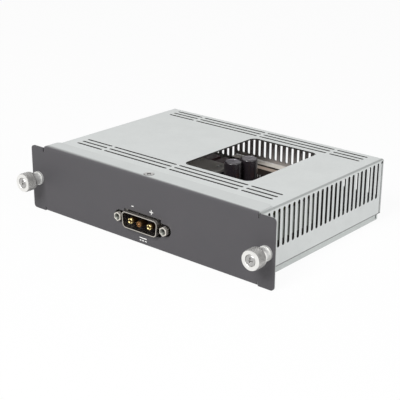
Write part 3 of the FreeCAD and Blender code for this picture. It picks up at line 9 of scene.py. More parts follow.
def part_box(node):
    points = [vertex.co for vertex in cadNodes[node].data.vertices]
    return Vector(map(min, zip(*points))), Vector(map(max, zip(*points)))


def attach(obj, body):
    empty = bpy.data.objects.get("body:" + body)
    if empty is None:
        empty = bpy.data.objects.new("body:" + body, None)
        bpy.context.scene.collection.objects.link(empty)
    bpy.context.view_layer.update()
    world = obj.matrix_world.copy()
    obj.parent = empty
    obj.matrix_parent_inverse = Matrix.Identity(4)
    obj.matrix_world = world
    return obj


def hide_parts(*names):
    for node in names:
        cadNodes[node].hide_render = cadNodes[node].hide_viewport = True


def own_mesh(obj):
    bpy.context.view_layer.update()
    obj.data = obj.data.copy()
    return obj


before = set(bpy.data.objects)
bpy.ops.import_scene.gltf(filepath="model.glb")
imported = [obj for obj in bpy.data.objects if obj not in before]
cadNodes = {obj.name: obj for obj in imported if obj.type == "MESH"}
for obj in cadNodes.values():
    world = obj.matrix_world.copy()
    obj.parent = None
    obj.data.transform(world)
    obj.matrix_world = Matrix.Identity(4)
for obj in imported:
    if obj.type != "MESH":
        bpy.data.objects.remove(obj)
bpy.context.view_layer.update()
mm = 0.001
# How close a point has to lie, in mm, to count as on a plane or on a circle
planeSlack = 0.003
circleSlack = 0.02
# Least upward share of a level face's normal
levelNormal = 0.99
print("frame loaded:", len(cadNodes), "nodes")

# Where the photograph was taken from, fitted to the panel's and the case's corners
photoView = {
    "azimuth": 40.472,
    "elevation": 20.664,
    "roll": 0.332,
    "distance": 516.85,
    "target": (40.24, -50.25, 35.79),
    "focalPixels": 1031.7,
    "framePixels": 400,
    "sensor": 36.0,
}

# Light levels
studio = {
    "worldFill": 0.3,
    "keyPower": 13.0,
    "keySize": 0.55,
    "keyPlace": (0.1, -1.0, 0.85),
    "sidePower": 3.0,
    "sideSize": 0.6,
    "sidePlace": (0.95, -0.15, 0.45),
    "floorWhite": "#fafafa",
    "floorGlow": 0.94,
    "floorSize": 6.0,
    "aim": (0, 0, 0.02),
}


def linearColour(hexText):
    channels = []
    for start in (1, 3, 5):
        part = int(hexText[start:start + 2], 16) / 255
        channels.append(part / 12.92 if part <= 0.04045 else ((part + 0.055) / 1.055) ** 2.4)
    return (*channels, 1.0)


# Adds one node: settings are its attributes or the values of its inputs, links join its inputs to sockets
def addNode(tree, kind, settings=None, links=None):
    node = tree.nodes.new(kind)
    for name, value in (settings or {}).items():
        if isinstance(name, str) and hasattr(node, name):
            setattr(node, name, value)
        else:
            node.inputs[name].default_value = value
    for name, socket in (links or {}).items():
        tree.links.new(socket, node.inputs[name])
    return node


def emptyMaterial(name):
    material = bpy.data.materials.new(name)
    material.use_nodes = True
    material.node_tree.nodes.clear()
    return material


# The end of every material: its roughness follows one field, its bump another, and links bring the rest
def endMaterial(tree, style, bumpDepth, wander, relief, links):
    low, high = style["roughness"]
    rough = addNode(tree, "ShaderNodeMapRange", {"To Min": low, "To Max": high}, {"Value": wander})
    bump = addNode(tree, "ShaderNodeBump", {"Strength": style["bump"], "Distance": bumpDepth},
                   {"Height": relief})
    shader = addNode(tree, "ShaderNodeBsdfPrincipled",
                     {"Metallic": style.get("metallic", 0.0), "Coat Weight": style.get("coat", 0.0),
                      "Specular IOR Level": style.get("specular", 0.5)},
                     {"Roughness": rough.outputs["Result"], "Normal": bump.outputs["Normal"], **links})
    addNode(tree, "ShaderNodeOutputMaterial", None, {"Surface": shader.outputs["BSDF"]})


# Base of every finish: two close tones mixed by a noise, a roughness that wanders and a fine bump.
# sizes gives the noise's clouds and the bump's grains in mm
def finish(name, style):
    material = emptyMaterial(name)
    tree = material.node_tree
    first, second = (linearColour(tone) for tone in style["tones"])
    cloudSize, grainSize = (size * mm for size in style["sizes"])
    place = addNode(tree, "ShaderNodeTexCoord").outputs["Object"]
    stretch = addNode(tree, "ShaderNodeMapping", {"Scale": style.get("stretch", (1, 1, 1))},
                      {"Vector": place})
    cloud = addNode(tree, "ShaderNodeTexNoise",
                    {"Scale": 1 / cloudSize, "Detail": 4.0, "Roughness": 0.6},
                    {"Vector": stretch.outputs["Vector"]})
    grain = addNode(tree, "ShaderNodeTexNoise", {"Scale": 1 / grainSize, "Detail": 2.0},
                    {"Vector": stretch.outputs["Vector"]})
    tone = addNode(tree, "ShaderNodeMix", {"data_type": "RGBA", 6: first, 7: second},
                   {0: cloud.outputs["Fac"]})
    endMaterial(tree, style, grainSize, cloud.outputs["Fac"], grain.outputs["Fac"],
                {"Base Color": tone.outputs[2]})
    return material


finishes = {
    # Electro-galvanised sheet of the tray: a shade greener and duller than the cover
    "trayZinc": {"tones": ("#ced2d0", "#c2c7c5"), "sizes": (11.0, 0.4),
                 "roughness": (0.45, 0.6), "bump": 0.06, "metallic": 0.5},
    # Dark zinc with a slight sheen on the flange screws' rim, cross and shank: painted shade for the gap
    # round the head and the recess
    "flangeScrewShade": {"tones": ("#2c2c2e", "#1e1e20"), "sizes": (1.2, 0.2),
                  "roughness": (0.35, 0.5), "bump": 0.08, "metallic": 0.4},
    # Bright zinc fasteners
    "brightZinc": {"tones": ("#c9cbca", "#b4b7b8"), "sizes": (2.0, 0.2),
                   "roughness": (0.25, 0.4), "bump": 0.05, "metallic": 0.95},
    # Nickel plate over drawn steel: the shell's bright rim
    "nickelPlate": {"tones": ("#e6e2da", "#d8d3c9"), "sizes": (3.0, 0.25),
                    "roughness": (0.18, 0.28), "bump": 0.03, "metallic": 1.0},
    # Nickel-plated turned steel: white and satin on the knob's faces and the collar
    "knobNickel": {"tones": ("#f1f0ed", "#e4e3e0"), "sizes": (2.5, 0.15),
                   "roughness": (0.32, 0.45), "bump": 0.05, "metallic": 0.9},
    # The same plating in the knurl, where grease and its own shade turn it grey
    "knurledNickel": {"tones": ("#a9a8a6", "#868584"), "sizes": (1.6, 0.12),
                      "roughness": (0.38, 0.5), "bump": 0.08, "metallic": 1.0},
    # Bright zinc on the ferrules, dulled by handling
    "ferruleZinc": {"tones": ("#e2e2e0", "#cfcfcd"), "sizes": (1.6, 0.15),
                    "roughness": (0.4, 0.52), "bump": 0.05, "metallic": 0.55},
    # Screw head in the knob: duller zinc, darker in its cross
    "headZinc": {"tones": ("#c3c2c0", "#a3a2a1"), "sizes": (1.0, 0.12),
                 "roughness": (0.3, 0.45), "bump": 0.08, "metallic": 1.0},
    # Spring steel wire, oiled
    "springSteel": {"tones": ("#8d8f90", "#77797a"), "sizes": (1.0, 0.1),
                    "roughness": (0.25, 0.4), "bump": 0.04, "metallic": 1.0},
    # Glass-filled PBT, moulded: black with a dull surface
    "blackMoulding": {"tones": ("#151015", "#0f0b0f"), "sizes": (4.0, 0.25),
                      "roughness": (0.5, 0.65), "bump": 0.1, "specular": 0.12},
    # Hard gold over nickel on the outer contacts
    "goldPlate": {"tones": ("#f6e6ae", "#ead28a"), "sizes": (1.2, 0.15),
                  "roughness": (0.34, 0.46), "bump": 0.04, "metallic": 0.75},
    # Bare phosphor bronze on the middle contact: orange beside the gold
    "bronze": {"tones": ("#d6a06a", "#b57d4a"), "sizes": (1.0, 0.15),
               "roughness": (0.22, 0.36), "bump": 0.06, "metallic": 1.0},
    # Natural nylon 66: ivory and slightly waxy
    "ivoryNylon": {"tones": ("#fbf6ee", "#f3ebdf"), "sizes": (6.0, 0.3),
                   "roughness": (0.38, 0.5), "bump": 0.06, "coat": 0.1},
    # Tin-plated copper blades
    "tinPlate": {"tones": ("#cfcfca", "#babab4"), "sizes": (1.5, 0.2),
                 "roughness": (0.25, 0.38), "bump": 0.05, "metallic": 1.0},
    # Type II black anodising on extruded aluminium: die lines along the length
    "blackAnodised": {"tones": ("#6a6764", "#5c5956"), "sizes": (6.0, 0.3),
                      "stretch": (1.0, 0.06, 1.0), "roughness": (0.4, 0.52), "bump": 0.1,
                      "metallic": 0.35},
    # Mill-finish aluminium plate, dull and in the cover's shade
    "millAluminium": {"tones": ("#c9c6c1", "#bab7b2"), "sizes": (7.0, 0.3),
                      "stretch": (0.08, 1.0, 1.0), "roughness": (0.45, 0.58), "bump": 0.08,
                      "metallic": 0.3},
    # Epoxy-moulded power packages
    "epoxyMoulding": {"tones": ("#262628", "#1c1c1e"), "sizes": (3.0, 0.15),
                      "roughness": (0.5, 0.65), "bump": 0.15},
    # Sintered manganese-zinc ferrite: charcoal, slightly sparkling
    "ferrite": {"tones": ("#3f3d3e", "#2f2d2e"), "sizes": (1.8, 0.12),
                "roughness": (0.5, 0.7), "bump": 0.18, "metallic": 0.2},
    # Phenolic bobbin
    "phenolic": {"tones": ("#2b241f", "#1f1a17"), "sizes": (3.5, 0.2),
                 "roughness": (0.4, 0.55), "bump": 0.1},
    # Polyester winding tape: yellow film, overlapped in bands
    "windingTape": {"tones": ("#d9b443", "#c49c31"), "sizes": (5.0, 0.5),
                    "stretch": (0.1, 1.0, 1.0), "roughness": (0.25, 0.4), "bump": 0.2, "coat": 0.2},
    # Epoxy coating on the powdered-iron toroid
    "toroidCoating": {"tones": ("#8a8f52", "#767b43"), "sizes": (2.5, 0.2),
                      "roughness": (0.35, 0.5), "bump": 0.12},
    # Enamelled copper wire
    "enamelCopper": {"tones": ("#b4622f", "#9a4d22"), "sizes": (1.5, 0.15),
                     "roughness": (0.18, 0.3), "bump": 0.05, "metallic": 0.9, "coat": 0.4},
    # Metallised film capacitor case, potted in dull plum-brown plastic
    "plumCase": {"tones": ("#51383c", "#432d31"), "sizes": (4.0, 0.25),
                 "roughness": (0.4, 0.55), "bump": 0.08},
    # Varistor lacquer
    "blueLacquer": {"tones": ("#33507e", "#284269"), "sizes": (1.5, 0.2),
                    "roughness": (0.25, 0.4), "bump": 0.15, "coat": 0.3},
    # Barium titanate chip parts
    "tanCeramic": {"tones": ("#b79c74", "#a58a63"), "sizes": (0.8, 0.1),
                   "roughness": (0.45, 0.6), "bump": 0.1},
    # PVC heat-shrink sleeve on the tall capacitors: black and glossy over the can
    "blackSleeve": {"tones": ("#292428", "#211c20"), "sizes": (6.0, 0.8),
                    "roughness": (0.2, 0.32), "bump": 0.08, "coat": 0.4},
    # Pressed aluminium can top, dull from etching
    "canAluminium": {"tones": ("#8f8c91", "#706d72"), "sizes": (1.5, 0.15),
                     "roughness": (0.35, 0.5), "bump": 0.08, "metallic": 0.6},
    # Dark brown matt card: painted shade, a dark sheet standing for the shade on the output housing's front
    # face
    "shadeCard": {"tones": ("#3a2f2a", "#2c2420"), "sizes": (2.0, 0.2),
                  "roughness": (0.65, 0.8), "bump": 0.15},
    # Tan strip along the card: painted half shade, standing for the dimly lit band of the housing's front
    # face
    "halfShadeTape": {"tones": ("#dccbbd", "#cdbaab"), "sizes": (1.5, 0.2),
                  "roughness": (0.6, 0.75), "bump": 0.2},
    # Polyester film beside the heatsink: milky, a little green
    "milkyFilm": {"tones": ("#dbe3dc", "#ccd5cd"), "sizes": (5.0, 0.3),
                  "roughness": (0.25, 0.4), "bump": 0.05, "coat": 0.2},
    # Tapped bore of a jackscrew: grey steel, darkened as painted shade in the bore
    "boreShadeSteel": {"tones": ("#83857f", "#5f615c"), "sizes": (0.8, 0.1),
                  "roughness": (0.4, 0.5), "bump": 0.08, "metallic": 0.6},
    # Bore of a contact, in its own shade
    "boreGold": {"tones": ("#4a3417", "#2e200e"), "sizes": (0.8, 0.1),
                 "roughness": (0.4, 0.5), "bump": 0.05, "metallic": 0.8},
    # Screen-printed white epoxy ink
    "whiteInk": {"tones": ("#f4f4f2", "#e6e6e3"), "sizes": (0.8, 0.08),
                 "roughness": (0.5, 0.65), "bump": 0.1},
}
materials = {name: finish(name, style) for name, style in finishes.items()}

# Powder coat on the panel's front only; the folded flanges and the backs of the ears stay bare zinc
panelPaint = {
    "paint": "#504e51",
    "paintShade": "#4b4a4d",
    "faceEdge": 0.3,
    "mistLeft": 5.0,
    "mistRight": 0.8,
    "cloudSize": 16.667,
    "peelSize": 0.7,
    "peelDepth": 0.2,
    "bump": 0.1,
    "roughness": (0.48, 0.62),
    "specular": 0.35,
    "zinc": "#d2d5d4",
    "zincShade": "#c9cccb",
    "zincMetal": 0.55,
}


def makePanelMaterial(style):
    material = emptyMaterial("powderCoat")
    tree = material.node_tree
    low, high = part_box("front_panel")
    place = addNode(tree, "ShaderNodeTexCoord").outputs["Object"]
    parts = addNode(tree, "ShaderNodeSeparateXYZ", None, {"Vector": place}).outputs
    cloud = addNode(tree, "ShaderNodeTexNoise", {"Scale": 1 / (style["cloudSize"] * mm), "Detail": 3.0},
                    {"Vector": place})
    # The spray's mist reaches further over the bend at the left end than at the right
    reach = addNode(tree, "ShaderNodeMapRange",
                    {"From Min": low[0], "From Max": high[0], "To Min": style["mistLeft"] * mm,
                     "To Max": style["mistRight"] * mm}, {"Value": parts["X"]})
    depth = addNode(tree, "ShaderNodeMath", {"operation": "SUBTRACT", 1: low[1] + style["faceEdge"] * mm},
                    {0: parts["Y"]})
    share = addNode(tree, "ShaderNodeMath", {"operation": "DIVIDE"},
                    {0: depth.outputs["Value"], 1: reach.outputs["Result"]})
    bare = addNode(tree, "ShaderNodeMapRange", {"interpolation_type": "SMOOTHSTEP"},
                   {"Value": share.outputs["Value"]})
    peel = addNode(tree, "ShaderNodeTexNoise", {"Scale": 1 / (style["peelSize"] * mm), "Detail": 2.0},
                   {"Vector": place})
    paint = addNode(tree, "ShaderNodeMix",
                    {"data_type": "RGBA", 6: linearColour(style["paint"]),
                     7: linearColour(style["paintShade"])}, {0: cloud.outputs["Fac"]})
    zinc = addNode(tree, "ShaderNodeMix",
                   {"data_type": "RGBA", 6: linearColour(style["zinc"]), 7: linearColour(style["zincShade"])},
                   {0: cloud.outputs["Fac"]})
    colour = addNode(tree, "ShaderNodeMix", {"data_type": "RGBA"},
                     {0: bare.outputs["Result"], 6: paint.outputs[2], 7: zinc.outputs[2]})
    metal = addNode(tree, "ShaderNodeMath", {"operation": "MULTIPLY", 1: style["zincMetal"]},
                    {0: bare.outputs["Result"]})
    endMaterial(tree, style, style["peelDepth"] * mm, peel.outputs["Fac"], peel.outputs["Fac"],
                {"Base Color": colour.outputs[2], "Metallic": metal.outputs["Value"]})
    return material


# Electro-galvanised sheet of the cover: pale satin zinc with painted shade along its bends, on its inner
# side, along its lower edge and along the panel flange's rear edge, and bare steel in its cut edges darkened
# further by painted shade. Lengths are in mm, facing is the least turn of a face away from its wall
coverSheet = {
    "zinc": "#d9dcdb",
    "zincShade": "#ced1d0",
    # Painted shade along the bends, where two walls meet
    "bend": "#a4a7a6",
    # Bare steel of the cut edges, darkened further by painted shade in the slots
    "cutEdgeShade": "#2b2928",
    "bendReach": 1.1,
    "bendCore": 0.5,
    "bendSum": (1.0, 1.8),
    "oneWall": 1.01,
    "sheet": 0.85,
    "facing": 0.45,
    "slack": 0.02,
    "cloudSize": 11.111,
    "spangle": 1.1,
    "bump": 0.05,
    "spangleDepth": 0.1,
    "roughness": (0.42, 0.56),
    "specular": 0.4,
    # Painted shade along the panel flange's rear edge
    "seamY": 11.7,
    "seamWidth": 0.5,
    "seamShade": 0.16,
    "metal": 0.55,
    # Painted shade on the sheet's inner side
    "inside": "#a8a2a0",
    "insideFrom": 0.5,
    "insideTo": 0.6,
    "lowEdge": 0.45,
    "lowFade": 0.15,
    # Strength of the painted shade along the lower edge
    "lowEdgeShade": 0.7,
}


def makeCoverMaterial(style):
    material = emptyMaterial("slottedZinc")
    tree = material.node_tree
    low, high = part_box("top_cover")
    coordinates = addNode(tree, "ShaderNodeTexCoord").outputs
    place = coordinates["Object"]
    # How deep a point lies behind the outer faces of the side walls, the rear wall and the top
    span = (high[0], high[1] - low[1], high[2] - low[2])
    moved = addNode(tree, "ShaderNodeMapping", {"Location": (0, -low[1], -low[2])}, {"Vector": place})
    folded = addNode(tree, "ShaderNodeVectorMath", {"operation": "ABSOLUTE"}, {0: moved.outputs["Vector"]})
    depth = addNode(tree, "ShaderNodeVectorMath", {"operation": "SUBTRACT", 0: span},
                    {1: folded.outputs["Vector"]}).outputs["Vector"]
    # Inputs 6, 7 and 8 of a vector range are its vector and the ends that turn to 0 and 1
    near = addNode(tree, "ShaderNodeMapRange",
                   {"data_type": "FLOAT_VECTOR", 7: [style["bendReach"] * mm] * 3,
                    8: [style["bendCore"] * mm] * 3}, {6: depth})
    walls = addNode(tree, "ShaderNodeVectorMath", {"operation": "DOT_PRODUCT", 1: (1, 1, 1)},
                    {0: near.outputs["Vector"]}).outputs["Value"]
    # That sum is 1 near one wall and nears 2 where two of them meet in a bend
    flat, bend = style["bendSum"]
    bendShare = addNode(tree, "ShaderNodeMapRange", {"From Min": flat, "From Max": bend}, {"Value": walls})
    # A cut edge lies within one wall's sheet and doesn't face the way that wall faces
    inSheet = addNode(tree, "ShaderNodeMapRange",
                      {"data_type": "FLOAT_VECTOR", 7: [(style["sheet"] + style["slack"]) * mm] * 3,
                       8: [style["sheet"] * mm] * 3}, {6: depth})
    facing = addNode(tree, "ShaderNodeVectorMath", {"operation": "ABSOLUTE"}, {0: coordinates["Normal"]})
    aside = addNode(tree, "ShaderNodeMapRange",
                    {"data_type": "FLOAT_VECTOR", 7: [style["facing"] + style["slack"]] * 3,
                     8: [style["facing"]] * 3}, {6: facing.outputs["Vector"]})
    cut = addNode(tree, "ShaderNodeVectorMath", {"operation": "DOT_PRODUCT"},
                  {0: inSheet.outputs["Vector"], 1: aside.outputs["Vector"]})
    oneWall = addNode(tree, "ShaderNodeMath", {"operation": "LESS_THAN", 1: style["oneWall"]},
                      {0: walls})
    cutShare = addNode(tree, "ShaderNodeMath", {"operation": "MULTIPLY", "use_clamp": True},
                       {0: cut.outputs["Value"], 1: oneWall.outputs["Value"]}).outputs["Value"]
    # The sheet's other side lies at the back of its thickness and gets painted shade, the dark of the case's
    # inside
    behind = addNode(tree, "ShaderNodeMapRange",
                     {"data_type": "FLOAT_VECTOR", 7: [style["insideFrom"] * mm] * 3,
                      8: [style["insideTo"] * mm] * 3}, {6: depth})
    inner = addNode(tree, "ShaderNodeVectorMath", {"operation": "DOT_PRODUCT"},
                    {0: inSheet.outputs["Vector"], 1: behind.outputs["Vector"]})
    innerShare = addNode(tree, "ShaderNodeMath", {"operation": "MULTIPLY", "use_clamp": True},
                         {0: inner.outputs["Value"], 1: oneWall.outputs["Value"]}).outputs["Value"]
    cloud = addNode(tree, "ShaderNodeTexNoise",
                    {"Scale": 1 / (style["cloudSize"] * mm), "Detail": 4.0, "Roughness": 0.6},
                    {"Vector": place})
    spangle = addNode(tree, "ShaderNodeTexVoronoi", {"Scale": 1 / (style["spangle"] * mm)}, {"Vector": place})
    zinc = addNode(tree, "ShaderNodeMix",
                   {"data_type": "RGBA", 6: linearColour(style["zinc"]), 7: linearColour(style["zincShade"])},
                   {0: cloud.outputs["Fac"]})
    # Painted shade along the bends, darkest where two walls meet
    bendShaded = addNode(tree, "ShaderNodeMix", {"data_type": "RGBA", 7: linearColour(style["bend"])},
                   {0: bendShare.outputs["Result"], 6: zinc.outputs[2]})
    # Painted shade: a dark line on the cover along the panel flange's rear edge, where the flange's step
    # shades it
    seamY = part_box("front_panel")[0][1] + style["seamY"] * mm
    parts = addNode(tree, "ShaderNodeSeparateXYZ", None, {"Vector": place}).outputs
    fromSeam = addNode(tree, "ShaderNodeMath", {"operation": "SUBTRACT", 1: seamY}, {0: parts["Y"]})
    seamGap = addNode(tree, "ShaderNodeMath", {"operation": "ABSOLUTE"}, {0: fromSeam.outputs["Value"]})
    seam = addNode(tree, "ShaderNodeMapRange",
                   {"From Max": style["seamWidth"] * mm, "To Min": style["seamShade"], "To Max": 0.0},
                   {"Value": seamGap.outputs["Value"]})
    seamShaded = addNode(tree, "ShaderNodeMix", {"data_type": "RGBA", 7: (0, 0, 0, 1)},
                    {0: seam.outputs["Result"], 6: bendShaded.outputs[2]})
    innerShaded = addNode(tree, "ShaderNodeMix", {"data_type": "RGBA", 7: linearColour(style["inside"])},
                    {0: innerShare, 6: seamShaded.outputs[2]})
    # Painted shade along the sheared lower edge: a dark band standing for the shadow gap over the tray
    lowEdge = low[2] + style["lowEdge"] * mm
    lowEdgeShade = addNode(tree, "ShaderNodeMapRange",
                    {"From Min": lowEdge, "From Max": lowEdge + style["lowFade"] * mm,
                     "To Min": style["lowEdgeShade"], "To Max": 0.0}, {"Value": parts["Z"]})
    lowEdgeShaded = addNode(tree, "ShaderNodeMix", {"data_type": "RGBA", 7: linearColour(style["cutEdgeShade"])},
                    {0: lowEdgeShade.outputs["Result"], 6: innerShaded.outputs[2]})
    # Cut edges: bare steel, darkened further by painted shade
    colour = addNode(tree, "ShaderNodeMix", {"data_type": "RGBA", 7: linearColour(style["cutEdgeShade"])},
                     {0: cutShare, 6: lowEdgeShaded.outputs[2]})
    metal = addNode(tree, "ShaderNodeMapRange", {"To Min": style["metal"], "To Max": 0.0},
                    {"Value": cutShare})
    grains = spangle.outputs["Distance"]
    endMaterial(tree, style, style["spangleDepth"] * mm, grains, grains,
                {"Base Color": colour.outputs[2], "Metallic": metal.outputs["Result"]})
    return material


# Drawn nickel-plated shell: bright on its nose, dark and duller on the flange plate behind the panel
inletShell = {
    "nickel": "#cfcbc3",
    "nickelShade": "#bdb8af",
    "plate": "#1f1d20",
    "plateStart": 2.2,
    "plateFade": 0.2,
    "metal": (1.0, 0.2),
    "drawnSize": 0.6,
    "drawnDepth": 0.05,
    "bump": 0.05,
    "roughness": (0.16, 0.42),
    "specular": 0.3,
}


def makeShellMaterial(style):
    material = emptyMaterial("shellNickel")
    tree = material.node_tree
    place = addNode(tree, "ShaderNodeTexCoord").outputs["Object"]
    depth = addNode(tree, "ShaderNodeSeparateXYZ", None, {"Vector": place}).outputs["Y"]
    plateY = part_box("front_panel")[0][1] + style["plateStart"] * mm
    behind = addNode(tree, "ShaderNodeMapRange",
                     {"From Min": plateY - style["plateFade"] * mm, "From Max": plateY},
                     {"Value": depth}).outputs["Result"]
    drawn = addNode(tree, "ShaderNodeTexNoise", {"Scale": 1 / (style["drawnSize"] * mm), "Detail": 3.0},
                    {"Vector": place})
    nickel = addNode(tree, "ShaderNodeMix",
                     {"data_type": "RGBA", 6: linearColour(style["nickel"]),
                      7: linearColour(style["nickelShade"])}, {0: drawn.outputs["Fac"]})
    colour = addNode(tree, "ShaderNodeMix", {"data_type": "RGBA", 7: linearColour(style["plate"])},
                     {0: behind, 6: nickel.outputs[2]})
    noseMetal, plateMetal = style["metal"]
    metal = addNode(tree, "ShaderNodeMapRange", {"To Min": noseMetal, "To Max": plateMetal},
                    {"Value": behind})
    endMaterial(tree, style, style["drawnDepth"] * mm, drawn.outputs["Fac"], drawn.outputs["Fac"],
                {"Base Color": colour.outputs[2], "Metallic": metal.outputs["Result"]})
    return material


# Glass-epoxy laminate under green solder mask: tracks stand out lighter, pads and print are pale specks
boardFinish = {
    "mask": "#1d3a2a",
    "track": "#2b5439",
    "print": "#d8dcd2",
    "cellHeight": 10.16,
    "cellWidth": 1.3,
    "trackRow": 0.25,
    "trackWidth": 0.06,
    "trackDepth": 0.1,
    "bump": 0.2,
    "padPitch": 3.1,
    "padRadius": 0.13,
    "roughness": (0.35, 0.35),
    "coat": 0.2,
}


def makeBoardMaterial(style):
    material = emptyMaterial("solderMask")
    tree = material.node_tree
    place = addNode(tree, "ShaderNodeTexCoord").outputs["Object"]
    tracks = addNode(tree, "ShaderNodeTexBrick",
                     {"Scale": 1 / (style["cellHeight"] * mm), "Mortar Size": style["trackWidth"],
                      "Brick Width": style["cellWidth"], "Row Height": style["trackRow"],
                      "Color1": linearColour(style["mask"]),
                      "Color2": linearColour(style["mask"]), "Mortar": linearColour(style["track"])},
                     {"Vector": place})
    pads = addNode(tree, "ShaderNodeTexVoronoi", {"Scale": 1 / (style["padPitch"] * mm)}, {"Vector": place})
    spot = addNode(tree, "ShaderNodeMath", {"operation": "LESS_THAN", 1: style["padRadius"]},
                   {0: pads.outputs["Distance"]})
    colour = addNode(tree, "ShaderNodeMix", {"data_type": "RGBA", 7: linearColour(style["print"])},
                     {0: spot.outputs["Value"], 6: tracks.outputs["Color"]})
    endMaterial(tree, style, style["trackDepth"] * mm, tracks.outputs["Fac"], tracks.outputs["Fac"],
                {"Base Color": colour.outputs[2]})
    return material


materials["powderCoat"] = makePanelMaterial(panelPaint)
materials["solderMask"] = makeBoardMaterial(boardFinish)
materials["slottedZinc"] = makeCoverMaterial(coverSheet)
materials["shellNickel"] = makeShellMaterial(inletShell)

# Which carried-over nodes wear each finish
nodesByFinish = {
    "powderCoat": ["front_panel"],
    "slottedZinc": ["top_cover"],
    "trayZinc": ["base_tray"],
    "brightZinc": ["clinch_nuts", "board_standoffs", "board_screws", "transistor_screws"],
    "solderMask": ["main_board"],
    "shellNickel": ["inlet_shell"],
    "blackMoulding": ["inlet_insulator"],
    "tinPlate": ["inlet_brackets", "output_blades", "fuse"],
    "boreGold": ["inlet_pin_left", "inlet_pin_middle", "inlet_pin_right"],
    "ivoryNylon": ["output_housing"],
    "millAluminium": ["heatsink_plate"],
    "blackAnodised": ["side_heatsink"],
    "epoxyMoulding": ["power_transistors", "rectifier", "control_chips"],
    "ferrite": ["transformer_core", "filter_core"],
    "phenolic": ["transformer_bobbin"],
    "windingTape": ["transformer_winding"],
    "toroidCoating": ["choke_core"],
    "enamelCopper": ["choke_winding", "filter_windings"],
    "plumCase": ["film_capacitors"],
    "blueLacquer": ["varistor"],
    "tanCeramic": ["small_parts"],
    "ferruleZinc": ["left_ferrule", "right_ferrule"],
}
for finishName, nodeNames in nodesByFinish.items():
    for nodeName in nodeNames:
        for holder in cadNodes[nodeName].material_slots:
            holder.material = materials[finishName]
print("materials:", len(materials))


def addObject(name, data):
    item = bpy.data.objects.new(name, data)
    bpy.context.scene.collection.objects.link(item)
    return item


def makeMesh(name, bm):
    mesh = bpy.data.meshes.new(name)
    bm.to_mesh(mesh)
    bm.free()
    return mesh


# New piece from a bmesh: clean, outward, with smooth shading up to the given angle
def makePiece(name, bm, finishNames, body, replaced=(), smoothAngle=35.0):
    bmesh.ops.remove_doubles(bm, verts=bm.verts, dist=0.002 * mm)
    bmesh.ops.recalc_face_normals(bm, faces=bm.faces)
    for face in bm.faces:
        face.smooth = True
    for edge in bm.edges:
        if len(edge.link_faces) == 2 and edge.calc_face_angle(0) > math.radians(smoothAngle):
            edge.smooth = False
    mesh = makeMesh(name, bm)
    for finishName in finishNames:
        mesh.materials.append(materials[finishName])
    piece = addObject(name, mesh)
    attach(piece, body)
    if replaced:
        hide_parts(*replaced)
    return piece


def freshVerts(bm, before):
    return [vert for vert in bm.verts if vert not in before]


def facesOf(verts):
    return {face for vert in verts for face in vert.link_faces}


# Turned form: points are (radius, height) in millimetres, spun about the z axis
def turned(bm, points, segments, closed=False):
    ring = [bm.verts.new((radius * mm, 0, height * mm)) for radius, height in points]
    pairs = list(zip(ring, ring[1:]))
    if closed:
        pairs.append((ring[-1], ring[0]))
    edges = [bm.edges.new(pair) for pair in pairs]
    bmesh.ops.spin(bm, geom=ring + edges, cent=(0, 0, 0), axis=(0, 0, 1), dvec=(0, 0, 0),
                   angle=2 * math.pi, steps=segments, use_merge=True)
    bmesh.ops.remove_doubles(bm, verts=bm.verts, dist=0.001 * mm)


# Turns a form made along z so that its z axis points along the given direction, and puts it in place
def placed(bm, direction, spot, verts=None):
    turn = Vector((0, 0, 1)).rotation_difference(Vector(direction)).to_matrix().to_4x4()
    bmesh.ops.transform(bm, matrix=Matrix.Translation(spot) @ turn, verts=verts or bm.verts)


# Open edges that lie on a circle at the given height
def boundaryLoop(bm, height, radius):
    found = []
    for edge in bm.edges:
        if len(edge.link_faces) != 1:
            continue
        if all(abs(v.co.z - height * mm) < planeSlack * mm
               and abs(v.co.xy.length - radius * mm) < circleSlack * mm for v in edge.verts):
            found.append(edge)
    return found


# Closes a round face at the given height with a cross pressed into it
def crossFace(bm, height, radius, arm, width, depth, floorTaper=0.6):
    rim = boundaryLoop(bm, height, radius)
    # The grid's points lie at 1 and a third of the way out, and become the arms' ends and sides
    made = bmesh.ops.create_grid(bm, x_segments=3, y_segments=3, size=1.0)["verts"]
    for vert in made:
        for axis in (0, 1):
            far = abs(vert.co[axis]) > 0.5
            reach = arm / 2 if far else width / 2
            vert.co[axis] = math.copysign(reach, vert.co[axis]) * mm
        vert.co.z = height * mm
    faces = list(facesOf(made))
    corners = [face for face in faces
               if min(abs(face.calc_center_median()[axis]) for axis in (0, 1)) > 0.3 * width * mm]
    bmesh.ops.delete(bm, geom=corners, context="FACES")
    cross = [face for face in faces if face.is_valid]
    sunk = bmesh.ops.extrude_face_region(bm, geom=cross)["geom"]
    bmesh.ops.delete(bm, geom=[face for face in cross if face.is_valid], context="FACES_ONLY")
    floor = [item for item in sunk if isinstance(item, bmesh.types.BMVert)]
    bmesh.ops.translate(bm, vec=(0, 0, -depth * mm), verts=floor)
    for vert in floor:
        vert.co.x *= floorTaper
        vert.co.y *= floorTaper
    bm.edges.ensure_lookup_table()
    mouth = [edge for edge in bm.edges if len(edge.link_faces) == 1
             and all(abs(v.co.z - height * mm) < planeSlack * mm for v in edge.verts)
             and max(v.co.xy.length for v in edge.verts) < (radius - 2 * circleSlack) * mm]
    bmesh.ops.triangle_fill(bm, use_beauty=True, use_dissolve=False, edges=rim + mouth)


